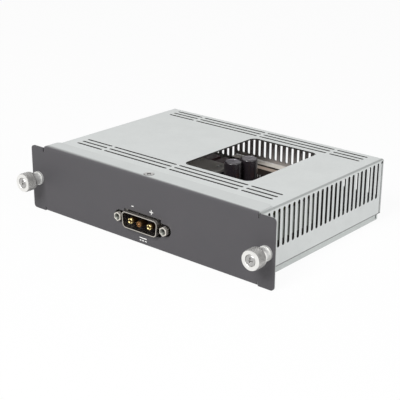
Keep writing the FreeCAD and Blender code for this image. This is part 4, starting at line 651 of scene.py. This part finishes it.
# Screw thread: a triangular ridge wound about the z axis, whose foot takes up four fifths of the pitch
def threadRidge(bm, radius, depth, pitch, low, high, turnSteps):
    turns = (high - low) / pitch
    foot = pitch * 0.8
    corners = [(radius - depth, low), (radius - depth, low + foot), (radius, low + foot / 2)]
    ring = [bm.verts.new((r * mm, 0, z * mm)) for r, z in corners]
    edges = [bm.edges.new((ring[i], ring[(i + 1) % 3])) for i in range(3)]
    steps = int(turnSteps * turns)
    made = bmesh.ops.spin(bm, geom=ring + edges, cent=(0, 0, 0), axis=(0, 0, 1),
                          dvec=(0, 0, (high - low) * mm / steps), angle=2 * math.pi * turns, steps=steps)
    bm.faces.new(ring)
    bm.faces.new([item for item in made["geom_last"] if isinstance(item, bmesh.types.BMVert)])


def boxCentre(nodeName):
    low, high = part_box(nodeName)
    return (Vector(low) + Vector(high)) / 2


# Knurled knobs
knobStyle = {
    "radius": 5.6,
    "length": 7.9,
    "headLength": 6.5,
    "neckRadius": 4.45,
    "chamfer": 0.5,
    "seatRadius": 3.1,
    "seatDepth": 0.8,
    "holeRadius": 1.55,
    "boreRadius": 3.7,
    "frontWall": 1.5,
    "edgeBreak": 0.15,
    "diamondsRound": 30,
    "diamondRows": 5,
    "knurlDepth": 0.45,
    "knurlSlack": 0.12,
}


def makeKnob(side, style):
    bm = bmesh.new()
    outer = style["radius"]
    root = outer - style["knurlDepth"]
    length = style["length"]
    headLength = style["headLength"]
    neck = style["neckRadius"]
    chamfer = style["chamfer"]
    edgeBreak = style["edgeBreak"]
    rows = style["diamondRows"]
    band = (headLength - 2 * chamfer) / rows
    points = [
        (style["holeRadius"], style["seatDepth"]),
        (style["seatRadius"], style["seatDepth"]),
        (style["seatRadius"], edgeBreak),
        (style["seatRadius"] + edgeBreak, 0),
        (outer - chamfer, 0),
    ]
    points += [(root, chamfer + band * row) for row in range(rows + 1)]
    points += [
        (outer - chamfer, headLength),
        (neck, headLength),
        (neck, length - edgeBreak),
        (neck - edgeBreak, length),
        (style["boreRadius"] + edgeBreak, length),
        (style["boreRadius"], length - edgeBreak),
        (style["boreRadius"], style["frontWall"]),
        (style["holeRadius"], style["frontWall"]),
    ]
    turned(bm, points, style["diamondsRound"], closed=True)
    bmesh.ops.recalc_face_normals(bm, faces=bm.faces)

    def knurlFaces():
        found = []
        for face in bm.faces:
            middle = face.calc_center_median()
            inBand = chamfer * mm < middle.z < (headLength - chamfer) * mm
            if inBand and middle.xy.length > (root - style["knurlSlack"]) * mm:
                found.append(face)
        return found

    # Each square of the band is poked, and its own edges are dissolved, which leaves diamonds to poke out
    knurl = knurlFaces()
    inner = {edge for face in knurl for edge in face.edges
             if all(link in knurl for link in edge.link_faces)}
    bmesh.ops.poke(bm, faces=knurl, offset=0)
    bmesh.ops.dissolve_edges(bm, edges=list(inner), use_verts=False)
    diamonds = [face for face in knurlFaces() if len(face.verts) == 4]
    bmesh.ops.poke(bm, faces=diamonds, offset=style["knurlDepth"] * mm)
    for face in knurlFaces():
        face.material_index = 1
    low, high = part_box(side + "_knob")
    centre = boxCentre(side + "_knob")
    placed(bm, (0, 1, 0), (centre.x, low[1], centre.z))
    makePiece(side + "KnurledKnob", bm, ["knobNickel", "knurledNickel"], side + "_thumbscrew",
              [side + "_knob"], smoothAngle=25.0)


# Captive screws inside the knobs
captiveScrew = {
    "headRadius": 2.9,
    "headHeight": 0.8,
    "headEdge": 0.25,
    "crossArm": 3.4,
    "crossWidth": 0.75,
    "crossDepth": 0.6,
    "neckRadius": 1.5,
    "shankRadius": 1.8,
    "shankStart": 8.6,
    "threadStart": 14.0,
    "threadRadius": 2.0,
    "threadDepth": 0.4,
    "threadPitch": 0.7,
    "threadSink": 0.02,
    "threadGap": 0.1,
    "threadSteps": 24,
    "segments": 32,
    "length": 18.5,
    "point": 0.5,
}


def makeCaptiveScrew(side, style):
    bm = bmesh.new()
    core = style["threadRadius"] - style["threadDepth"]
    head = style["headRadius"]
    points = [
        (head - style["headEdge"], 0),
        (head, style["headEdge"]),
        (head, style["headHeight"]),
        (style["neckRadius"], style["headHeight"]),
        (style["neckRadius"], style["shankStart"]),
        (style["shankRadius"], style["shankStart"]),
        (style["shankRadius"], style["threadStart"]),
        (core, style["threadStart"]),
        (core, style["length"] - style["point"]),
        (core - style["point"], style["length"]),
        (0, style["length"]),
    ]
    turned(bm, points, style["segments"])
    # The cross is pressed into the head's face, which looks along minus z
    bmesh.ops.scale(bm, vec=(1, 1, -1), verts=bm.verts)
    crossFace(bm, 0, head - style["headEdge"], style["crossArm"], style["crossWidth"], style["crossDepth"])
    bmesh.ops.scale(bm, vec=(1, 1, -1), verts=bm.verts)
    threadRidge(bm, style["threadRadius"], style["threadDepth"] + style["threadSink"], style["threadPitch"],
                style["threadStart"] + style["threadGap"],
                style["length"] - style["point"] - style["threadPitch"], style["threadSteps"])
    low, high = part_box(side + "_screw")
    centre = boxCentre(side + "_screw")
    placed(bm, (0, 1, 0), (centre.x, low[1], centre.z))
    makePiece(side + "CaptiveScrew", bm, ["headZinc"], side + "_thumbscrew",
              [side + "_screw"])


# Springs between knob and ferrule
springStyle = {
    "coilRadius": 2.4,
    "wireRadius": 0.29,
    "turns": 3.5,
    "turnSteps": 36,
    "endGap": 0.36,
    "travel": 3.2,
}


def makeSpring(side, style):
    bm = bmesh.new()
    low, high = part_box(side + "_spring")
    knobEnd = low[1] + style["endGap"] * mm
    reach = high[1] - low[1] - 2 * style["endGap"] * mm
    bmesh.ops.create_circle(bm, cap_ends=False, radius=style["wireRadius"] * mm, segments=10)
    bmesh.ops.rotate(bm, verts=bm.verts, cent=(0, 0, 0), matrix=Matrix.Rotation(math.pi / 2, 3, "X"))
    bmesh.ops.translate(bm, verts=bm.verts, vec=(style["coilRadius"] * mm, 0, 0))
    steps = int(style["turnSteps"] * style["turns"])
    first = list(bm.verts)
    made = bmesh.ops.spin(bm, geom=list(bm.verts) + list(bm.edges), cent=(0, 0, 0), axis=(0, 0, 1),
                          dvec=(0, 0, reach / steps), angle=2 * math.pi * style["turns"], steps=steps)
    last = [item for item in made["geom_last"] if isinstance(item, bmesh.types.BMVert)]
    bm.faces.new(first)
    bm.faces.new(last)
    centre = boxCentre(side + "_screw")
    placed(bm, (0, 1, 0), (centre.x, knobEnd, centre.z))
    spring = makePiece(side + "CoilSpring", bm, ["springSteel"], side + "_spring_end",
                       [side + "_spring"], smoothAngle=60.0)
    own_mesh(spring)


for side in ("left", "right"):
    makeKnob(side, knobStyle)
    makeCaptiveScrew(side, captiveScrew)
    makeSpring(side, springStyle)
print("thumbscrews")

# Countersunk case screws
caseScrew = {
    "headRadius": 3.0,
    "headDepth": 1.5,
    "headLand": 0.35,
    "headBreak": 0.35,
    "shankRadius": 1.5,
    "tip": 0.4,
    "topLength": 5.2,
    "bottomLength": 4.4,
    "rearLength": 6.0,
    "crossArm": 3.0,
    "crossWidth": 0.7,
    "crossDepth": 0.9,
    "segments": 28,
}


# The head's face is made at z 0 and wears the piece's second finish, the rest its first
def addCaseScrew(bm, style, length, direction, spot):
    before = set(bm.verts)
    head = style["headRadius"]
    face = head - style["headBreak"]
    points = [
        (face, 0),
        (head, -style["headBreak"]),
        (head, -style["headLand"]),
        (style["shankRadius"], -style["headDepth"]),
        (style["shankRadius"], -length + style["tip"]),
        (style["shankRadius"] - style["tip"], -length),
        (0, -length),
    ]
    turned(bm, points, style["segments"])
    crossFace(bm, 0, face, style["crossArm"], style["crossWidth"], style["crossDepth"])
    fresh = freshVerts(bm, before)
    for part in facesOf(fresh):
        if abs(part.calc_center_median().z) < planeSlack * mm:
            part.material_index = 1
    placed(bm, direction, spot, fresh)


def makeCaseScrews(style):
    low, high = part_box("flange_screws")
    centre = boxCentre("flange_screws")
    bm = bmesh.new()
    addCaseScrew(bm, style, style["topLength"], (0, 0, 1), (centre.x, centre.y, high[2]))
    addCaseScrew(bm, style, style["bottomLength"], (0, 0, -1), (centre.x, centre.y, low[2]))
    # The flange screws' rim and cross wear painted shade, their head faces zinc
    makePiece("caseFlangeScrews", bm, ["flangeScrewShade", "headZinc"], "case", ["flange_screws"])
    low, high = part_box("rear_screws")
    centre = boxCentre("rear_screws")
    bm = bmesh.new()
    for x in (low[0] + style["headRadius"] * mm, high[0] - style["headRadius"] * mm):
        addCaseScrew(bm, style, style["rearLength"], (0, 1, 0), (x, high[1], centre.z))
    makePiece("caseRearScrews", bm, ["brightZinc", "brightZinc"], "case", ["rear_screws"])


makeCaseScrews(caseScrew)
print("case screws")

# Hexagonal jackscrews beside the inlet
jackStyle = {
    "flats": 4.75,
    "spacing": 33.32,
    "boreRadius": 1.3,
    "boreDepth": 4.0,
    "mouthRadius": 1.85,
    "boreThread": 0.5,
    "crestDepth": 0.16,
    "bevel": 0.3,
    "studRadius": 1.4,
    "studLength": 2.2,
    "studSink": 0.1,
    "bodyLength": 4.7,
    "boreSegments": 24,
    "studSegments": 20,
}


# One jackscrew, made with its mouth at z 0 and its stud below
def addJackscrew(bm, style, spot):
    before = set(bm.verts)
    length = style["bodyLength"]
    corner = style["flats"] / math.sqrt(3) * mm
    made = bmesh.ops.create_cone(bm, cap_ends=True, segments=6, radius1=corner, radius2=corner,
                                 depth=length * mm)["verts"]
    bmesh.ops.translate(bm, verts=made, vec=(0, 0, -length / 2 * mm))
    top = [face for face in facesOf(made) if face.normal.z > levelNormal]
    rim = [edge for face in top for edge in face.edges]
    bmesh.ops.bevel(bm, geom=rim, offset=style["bevel"] * mm, affect="EDGES", segments=2, profile=0.5,
                    material=-1)
    top = [face for face in facesOf(freshVerts(bm, before))
           if face.normal.z > levelNormal and abs(face.calc_center_median().z) < planeSlack * mm]
    bmesh.ops.delete(bm, geom=top, context="FACES_ONLY")
    # The tapped bore: a mouth, rings for the thread's crests and a floor
    points = [(style["mouthRadius"], 0)]
    step = style["boreThread"]
    depth = style["mouthRadius"] - style["boreRadius"]
    while depth < style["boreDepth"] - step:
        points.append((style["boreRadius"], -depth))
        points.append((style["boreRadius"] + style["crestDepth"], -depth - step / 2))
        depth += step
    points.append((style["boreRadius"], -style["boreDepth"]))
    points.append((0, -style["boreDepth"]))
    turned(bm, points, style["boreSegments"])
    # Faces in the bore wear the second finish, painted shade
    for face in facesOf(freshVerts(bm, before)):
        middle = face.calc_center_median()
        if middle.xy.length < style["mouthRadius"] * mm and middle.z > -(style["boreDepth"] + step) * mm:
            face.material_index = 1
    outline = [edge for edge in bm.edges if len(edge.link_faces) == 1
               and all(vert not in before and abs(vert.co.z) < planeSlack * mm for vert in edge.verts)]
    bmesh.ops.triangle_fill(bm, use_beauty=True, use_dissolve=False, edges=outline)
    stud = style["studRadius"]
    studTop = style["studSink"] - length
    studEnd = -length - style["studLength"]
    turned(bm, [(stud, -length), (stud, studEnd), (0, studEnd), (0, studTop), (stud, studTop)],
           style["studSegments"])
    placed(bm, (0, -1, 0), spot, freshVerts(bm, before))


def makeJackscrews(style):
    bm = bmesh.new()
    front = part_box("inlet_jackscrews")[0][1]
    centre = boxCentre("inlet_jackscrews")
    for side in (-1, 1):
        addJackscrew(bm, style, (side * style["spacing"] / 2 * mm, front, centre.z))
    makePiece("hexJackscrews", bm, ["nickelPlate", "boreShadeSteel"], "case", ["inlet_jackscrews"],
              smoothAngle=28.0)


makeJackscrews(jackStyle)
print("jackscrews")

# Electrolytic capacitors
tallCan = {
    "radius": 5.0,
    "height": 25.0,
    "rollRadius": 0.75,
    "footBreak": 0.4,
    "grooveHeight": 2.5,
    "grooveReach": 0.9,
    "grooveDepth": 0.45,
    "lipWidth": 0.9,
    "lipBreak": 0.08,
    "lipSlope": 0.05,
    "topInset": 0.3,
    "topDip": 0.35,
    "ventArm": 6.4,
    "ventWidth": 0.28,
    "ventDepth": 0.3,
    "ventTaper": 0.9,
    "segments": 40,
    "grooveSteps": 6,
    "rollSteps": 4,
}
smallCan = dict(tallCan, radius=4.0, height=16.0, ventArm=5.0, count=4)


def addCan(bm, style, spot):
    before = set(bm.verts)
    radius = style["radius"]
    height = style["height"]
    roll = style["rollRadius"]
    groove = style["grooveHeight"]
    dip = style["topDip"]
    lip = radius - style["lipWidth"]
    lipBreak = style["lipBreak"]
    footBreak = style["footBreak"]
    reach = style["grooveReach"]
    top = height - dip
    inset = lip - style["topInset"]
    points = [(0, 0), (radius - footBreak, 0), (radius, footBreak), (radius, groove - reach)]
    for step in range(1, style["grooveSteps"]):
        angle = math.pi * step / style["grooveSteps"]
        points.append((radius - style["grooveDepth"] * math.sin(angle), groove - reach * math.cos(angle)))
    points += [(radius, groove + reach), (radius, height - roll)]
    for step in range(1, style["rollSteps"] + 1):
        angle = math.pi / 2 * step / style["rollSteps"]
        points.append((radius - roll + roll * math.cos(angle), height - roll + roll * math.sin(angle)))
    points += [(lip + lipBreak, height), (lip, height - lipBreak), (lip - style["lipSlope"], top)]
    points.append((inset, top))
    turned(bm, points, style["segments"])
    crossFace(bm, top, inset, style["ventArm"], style["ventWidth"], style["ventDepth"], style["ventTaper"])
    fresh = freshVerts(bm, before)
    for face in facesOf(fresh):
        middle = face.calc_center_median()
        if middle.z > (top - 2 * style["ventDepth"]) * mm and middle.xy.length < (lip - circleSlack) * mm:
            face.material_index = 1
    placed(bm, (0, 0, 1), spot, fresh)


def makeCapacitors():
    for name in ("capacitor_front", "capacitor_rear"):
        bm = bmesh.new()
        centre = boxCentre(name)
        addCan(bm, tallCan, (centre.x, centre.y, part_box(name)[0][2]))
        makePiece(name + "Can", bm, ["blackSleeve", "canAluminium"], "case", [name])
    low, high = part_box("output_capacitors")
    bm = bmesh.new()
    radius = smallCan["radius"] * mm
    for step in range(smallCan["count"]):
        y = low[1] + radius + (high[1] - low[1] - 2 * radius) * step / (smallCan["count"] - 1)
        addCan(bm, smallCan, (boxCentre("output_capacitors").x, y, low[2]))
    makePiece("outputCans", bm, ["blackSleeve", "canAluminium"], "case",
              ["output_capacitors"])


makeCapacitors()
print("capacitors")

# Contact tips: four gold tines round a bore on the outer contacts, a bronze ring and dome on the middle.
# Heights count from the end of the contact's node, and angles are in degrees
contactCrown = {
    "radius": 1.55,
    "bore": 0.95,
    "rise": 0.75,
    "edge": 0.18,
    "foot": 0.3,
    "tines": 4,
    "tineArc": 54.0,
    "firstTine": 20.0,
    "baseTop": -0.1,
    "tineFoot": -0.2,
    "pinRadius": 1.8,
    "ringRadius": 1.4,
    "ringWall": 0.22,
    "ringRise": 0.2,
    "dome": [(0.6, 0), (0.42, 0.25), (0, 0.35)],
    "segments": 28,
    "domeSegments": 20,
    "tineSteps": 8,
}


# Part of a ring: a closed section spun through an arc, with both ends capped
def addTine(bm, section, start, arc, steps):
    turn = Matrix.Rotation(math.radians(start), 3, "Z")
    ring = [bm.verts.new(turn @ Vector((radius * mm, 0, height * mm))) for radius, height in section]
    edges = [bm.edges.new((ring[i - 1], ring[i])) for i in range(len(ring))]
    made = bmesh.ops.spin(bm, geom=ring + edges, cent=(0, 0, 0), axis=(0, 0, 1), dvec=(0, 0, 0),
                          angle=math.radians(arc), steps=steps)
    bm.faces.new(ring)
    bm.faces.new([item for item in made["geom_last"] if isinstance(item, bmesh.types.BMVert)])


def makeCrowns(style):
    bore = style["bore"]
    radius = style["radius"]
    rise = style["rise"]
    edge = style["edge"]
    foot = style["foot"]
    for side in ("left", "middle", "right"):
        bm = bmesh.new()
        if side == "middle":
            outer = style["ringRadius"]
            inner = outer - style["ringWall"]
            ringRise = style["ringRise"]
            ring = [(inner, -foot), (outer, -foot), (outer, ringRise), (inner, ringRise)]
            turned(bm, ring, style["segments"], closed=True)
            domeRadius = style["dome"][0][0]
            turned(bm, [(0, -foot), (domeRadius, -foot)] + style["dome"], style["domeSegments"])
        else:
            baseTop = style["baseTop"]
            turned(bm, [(0, -foot), (radius, -foot), (radius, baseTop), (0, baseTop)],
                   style["segments"])
            for face in bm.faces:
                face.material_index = 1
            section = [(bore, style["tineFoot"]), (radius, style["tineFoot"]), (radius, rise - edge),
                       (radius - edge, rise), (bore + edge, rise), (bore, rise - edge)]
            for step in range(style["tines"]):
                start = style["firstTine"] + 360 / style["tines"] * step
                addTine(bm, section, start, style["tineArc"], style["tineSteps"])
        low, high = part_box("inlet_pin_" + side)
        placed(bm, (0, -1, 0), ((low[0] + high[0]) / 2, low[1], high[2] - style["pinRadius"] * mm))
        finishNames = ["bronze", "boreGold"] if side == "middle" else ["goldPlate", "boreGold"]
        makePiece(side + "ContactCrown", bm, finishNames, "case")


makeCrowns(contactCrown)

# Thin upright sheets: a dark card in front of the output blades with a tan strip and ticks, the card and
# strip standing as painted shade for the output housing's front face, and the film beside the side heatsink
thinSheets = {
    "cardGap": 0.5,
    "cardRise": 12.0,
    "cardSideGap": 1.0,
    "cardThickness": 0.4,
    "tapeDrop": 0.9,
    "tapeHeight": 1.8,
    "tapeThickness": 0.15,
    "filmGap": 0.4,
    "filmThickness": 0.4,
    "filmFoot": 18.0,
    "filmTop": 32.5,
    "filmSideGap": 0.5,
    "corner": 0.7,
    "markCount": 6,
    "markFirst": -11.0,
    "markPitch": 1.9,
    "markSize": (0.4, 1.7, 0.05),
    "markFoot": 10.2,
    "markCorner": 0.12,
}


# A rounded upright sheet that faces the given way, with the middle of its back face's foot at the spot
def addSheet(bm, corner, width, height, thickness, direction, spot):
    before = set(bm.verts)
    made = bmesh.ops.create_grid(bm, x_segments=1, y_segments=1, size=0.5)["verts"]
    bmesh.ops.scale(bm, vec=(width, height, 1), verts=made)
    bmesh.ops.bevel(bm, geom=made, offset=corner, affect="VERTICES", segments=3, profile=0.5, material=-1)
    faces = list(facesOf(freshVerts(bm, before)))
    raised = bmesh.ops.extrude_face_region(bm, geom=faces, use_keep_orig=True)["geom"]
    lifted = [item for item in raised if isinstance(item, bmesh.types.BMVert)]
    bmesh.ops.translate(bm, vec=(0, 0, thickness), verts=lifted)
    turn = Matrix.Rotation(math.pi / 2, 4, "X")
    if direction == "right":
        turn = Matrix.Rotation(math.pi / 2, 4, "Z") @ turn
    lift = Vector((0, 0, height / 2))
    bmesh.ops.transform(bm, matrix=Matrix.Translation(Vector(spot) + lift) @ turn,
                        verts=freshVerts(bm, before))


def makeSheets(style):
    low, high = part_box("output_housing")
    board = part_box("main_board")[1][2]
    corner = style["corner"] * mm
    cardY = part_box("output_blades")[0][1] - style["cardGap"] * mm
    cardFace = cardY - style["cardThickness"] * mm
    width = high[0] - low[0] - 2 * style["cardSideGap"] * mm
    rise = style["cardRise"] * mm
    bm = bmesh.new()
    # Painted shade: the dark card stands for the shaded front face of the output housing, the tan strip for
    # its dimly lit band
    addSheet(bm, corner, width, rise, style["cardThickness"] * mm, "front", (0, cardY, board))
    makePiece("bladeShadeCard", bm, ["shadeCard"], "case")
    bm = bmesh.new()
    tapeFoot = board + rise - (style["tapeDrop"] + style["tapeHeight"]) * mm
    addSheet(bm, corner, width, style["tapeHeight"] * mm, style["tapeThickness"] * mm, "front",
             (0, cardFace, tapeFoot))
    makePiece("shadeCardTape", bm, ["halfShadeTape"], "case")
    # Pale ticks on the card, in front of the blades
    bm = bmesh.new()
    wide, tall, thick = (measure * mm for measure in style["markSize"])
    for step in range(style["markCount"]):
        x = (style["markFirst"] + style["markPitch"] * step) * mm
        addSheet(bm, style["markCorner"] * mm, wide, tall, thick, "front",
                 (x, cardFace, style["markFoot"] * mm))
    makePiece("cardTicks", bm, ["whiteInk"], "case")
    low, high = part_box("side_heatsink")
    bm = bmesh.new()
    addSheet(bm, corner, high[1] - low[1] - 2 * style["filmSideGap"] * mm,
             (style["filmTop"] - style["filmFoot"]) * mm, style["filmThickness"] * mm, "right",
             (high[0] + style["filmGap"] * mm, (low[1] + high[1]) / 2, style["filmFoot"] * mm))
    makePiece("sideFilm", bm, ["milkyFilm"], "case")


makeSheets(thinSheets)
print("contacts and card")

# White print on the panel: polarity signs and the plain symbol for direct current, each given by its
# middle's x and z, its width and the height of its bars
inkStyle = {
    "thickness": 0.03,
    "lift": 0.005,
    "cornerShare": 0.3,
    "minus": (-7.15, 20.4, 1.7, 0.5),
    "plus": (6.6, 20.4, 2.6, 0.5),
    "directCurrent": (0.4, 3.2, 5.2, 0.55),
    "dashGap": 0.55,
    "barRise": 0.75,
}


def makeInk(style):
    bm = bmesh.new()
    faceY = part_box("front_panel")[0][1] + style["lift"] * mm

    def addBar(x, z, width, height):
        corner = min(width, height) * style["cornerShare"]
        addSheet(bm, corner * mm, width * mm, height * mm, style["thickness"] * mm, "front",
                 (x * mm, faceY, (z - height / 2) * mm))

    addBar(*style["minus"])
    addBar(*style["plus"])
    # The plus sign's upright, above and below its bar
    x, z, width, height = style["plus"]
    rest = (width - height) / 2
    for side in (-1, 1):
        addBar(x, z + side * (height + rest) / 2, height, rest)
    x, z, width, height = style["directCurrent"]
    addBar(x, z + style["barRise"], width, height)
    dash = (width - 2 * style["dashGap"]) / 3
    for step in (-1, 0, 1):
        addBar(x + step * (dash + style["dashGap"]), z - style["barRise"], dash, height)
    makePiece("panelPrint", bm, ["whiteInk"], "case")


makeInk(inkStyle)
print("print")


# 1 for rays from the camera, a mirror or a clear body, which see the white backdrop, and 0 for the rest
def seenDirectly(tree):
    path = addNode(tree, "ShaderNodeLightPath")
    glossy = addNode(tree, "ShaderNodeMath", {"operation": "MAXIMUM"},
                     {0: path.outputs["Is Camera Ray"], 1: path.outputs["Is Glossy Ray"]})
    seen = addNode(tree, "ShaderNodeMath", {"operation": "MAXIMUM"},
                   {0: glossy.outputs["Value"], 1: path.outputs["Is Transmission Ray"]})
    return seen.outputs["Value"]


def makeFloor(style):
    bm = bmesh.new()
    bmesh.ops.create_grid(bm, x_segments=4, y_segments=4, size=style["floorSize"] / 2)
    mesh = makeMesh("studioFloor", bm)
    floor = addObject("studioFloor", mesh)
    material = emptyMaterial("studioPaper")
    tree = material.node_tree
    share = addNode(tree, "ShaderNodeMath", {"operation": "MULTIPLY", 1: style["floorGlow"]},
                    {0: seenDirectly(tree)})
    paper = addNode(tree, "ShaderNodeBsdfDiffuse", {"Color": linearColour(style["floorWhite"])})
    glow = addNode(tree, "ShaderNodeEmission", {"Color": (1, 1, 1, 1), "Strength": 1.0})
    mixed = addNode(tree, "ShaderNodeMixShader", None,
                    {0: share.outputs["Value"], 1: paper.outputs["BSDF"], 2: glow.outputs["Emission"]})
    addNode(tree, "ShaderNodeOutputMaterial", None, {"Surface": mixed.outputs["Shader"]})
    mesh.materials.append(material)


def makeWorld(style):
    world = bpy.data.worlds.new("studioWorld")
    world.use_nodes = True
    tree = world.node_tree
    tree.nodes.clear()
    level = addNode(tree, "ShaderNodeMapRange", {"To Min": style["worldFill"], "To Max": 1.0},
                    {"Value": seenDirectly(tree)})
    sky = addNode(tree, "ShaderNodeBackground", {"Color": (1, 1, 1, 1)},
                  {"Strength": level.outputs["Result"]})
    addNode(tree, "ShaderNodeOutputWorld", None, {"Surface": sky.outputs["Background"]})
    bpy.context.scene.world = world


def makeLamp(name, power, size, place):
    lamp = bpy.data.lights.new(name, "AREA")
    lamp.energy = power
    lamp.size = size
    holder = addObject(name, lamp)
    aim = Vector(studio["aim"]) - Vector(place)
    holder.matrix_world = Matrix.Translation(place) @ aim.to_track_quat("-Z", "Y").to_matrix().to_4x4()


def makeCamera(view):
    azimuth = math.radians(view["azimuth"])
    elevation = math.radians(view["elevation"])
    roll = math.radians(view["roll"])
    back = Vector((math.sin(azimuth) * math.cos(elevation), -math.cos(azimuth) * math.cos(elevation),
                   math.sin(elevation)))
    right = (-back).cross(Vector((0, 0, 1))).normalized()
    up = right.cross(-back)
    tiltedRight = math.cos(roll) * right + math.sin(roll) * up
    tiltedUp = -math.sin(roll) * right + math.cos(roll) * up
    place = Vector(view["target"]) * mm + back * view["distance"] * mm
    lens = bpy.data.cameras.new("photoCamera")
    lens.sensor_width = view["sensor"]
    lens.lens = view["focalPixels"] / view["framePixels"] * view["sensor"]
    lens.clip_start = 0.01
    holder = addObject("photoCamera", lens)
    turn = Matrix((tiltedRight, tiltedUp, back)).transposed().to_4x4()
    holder.matrix_world = Matrix.Translation(place) @ turn
    bpy.context.scene.camera = holder


makeFloor(studio)
makeWorld(studio)
makeLamp("keyLamp", studio["keyPower"], studio["keySize"], studio["keyPlace"])
makeLamp("sideLamp", studio["sidePower"], studio["sideSize"], studio["sidePlace"])
makeCamera(photoView)
bpy.context.scene.view_settings.view_transform = "Standard"
print("stage")
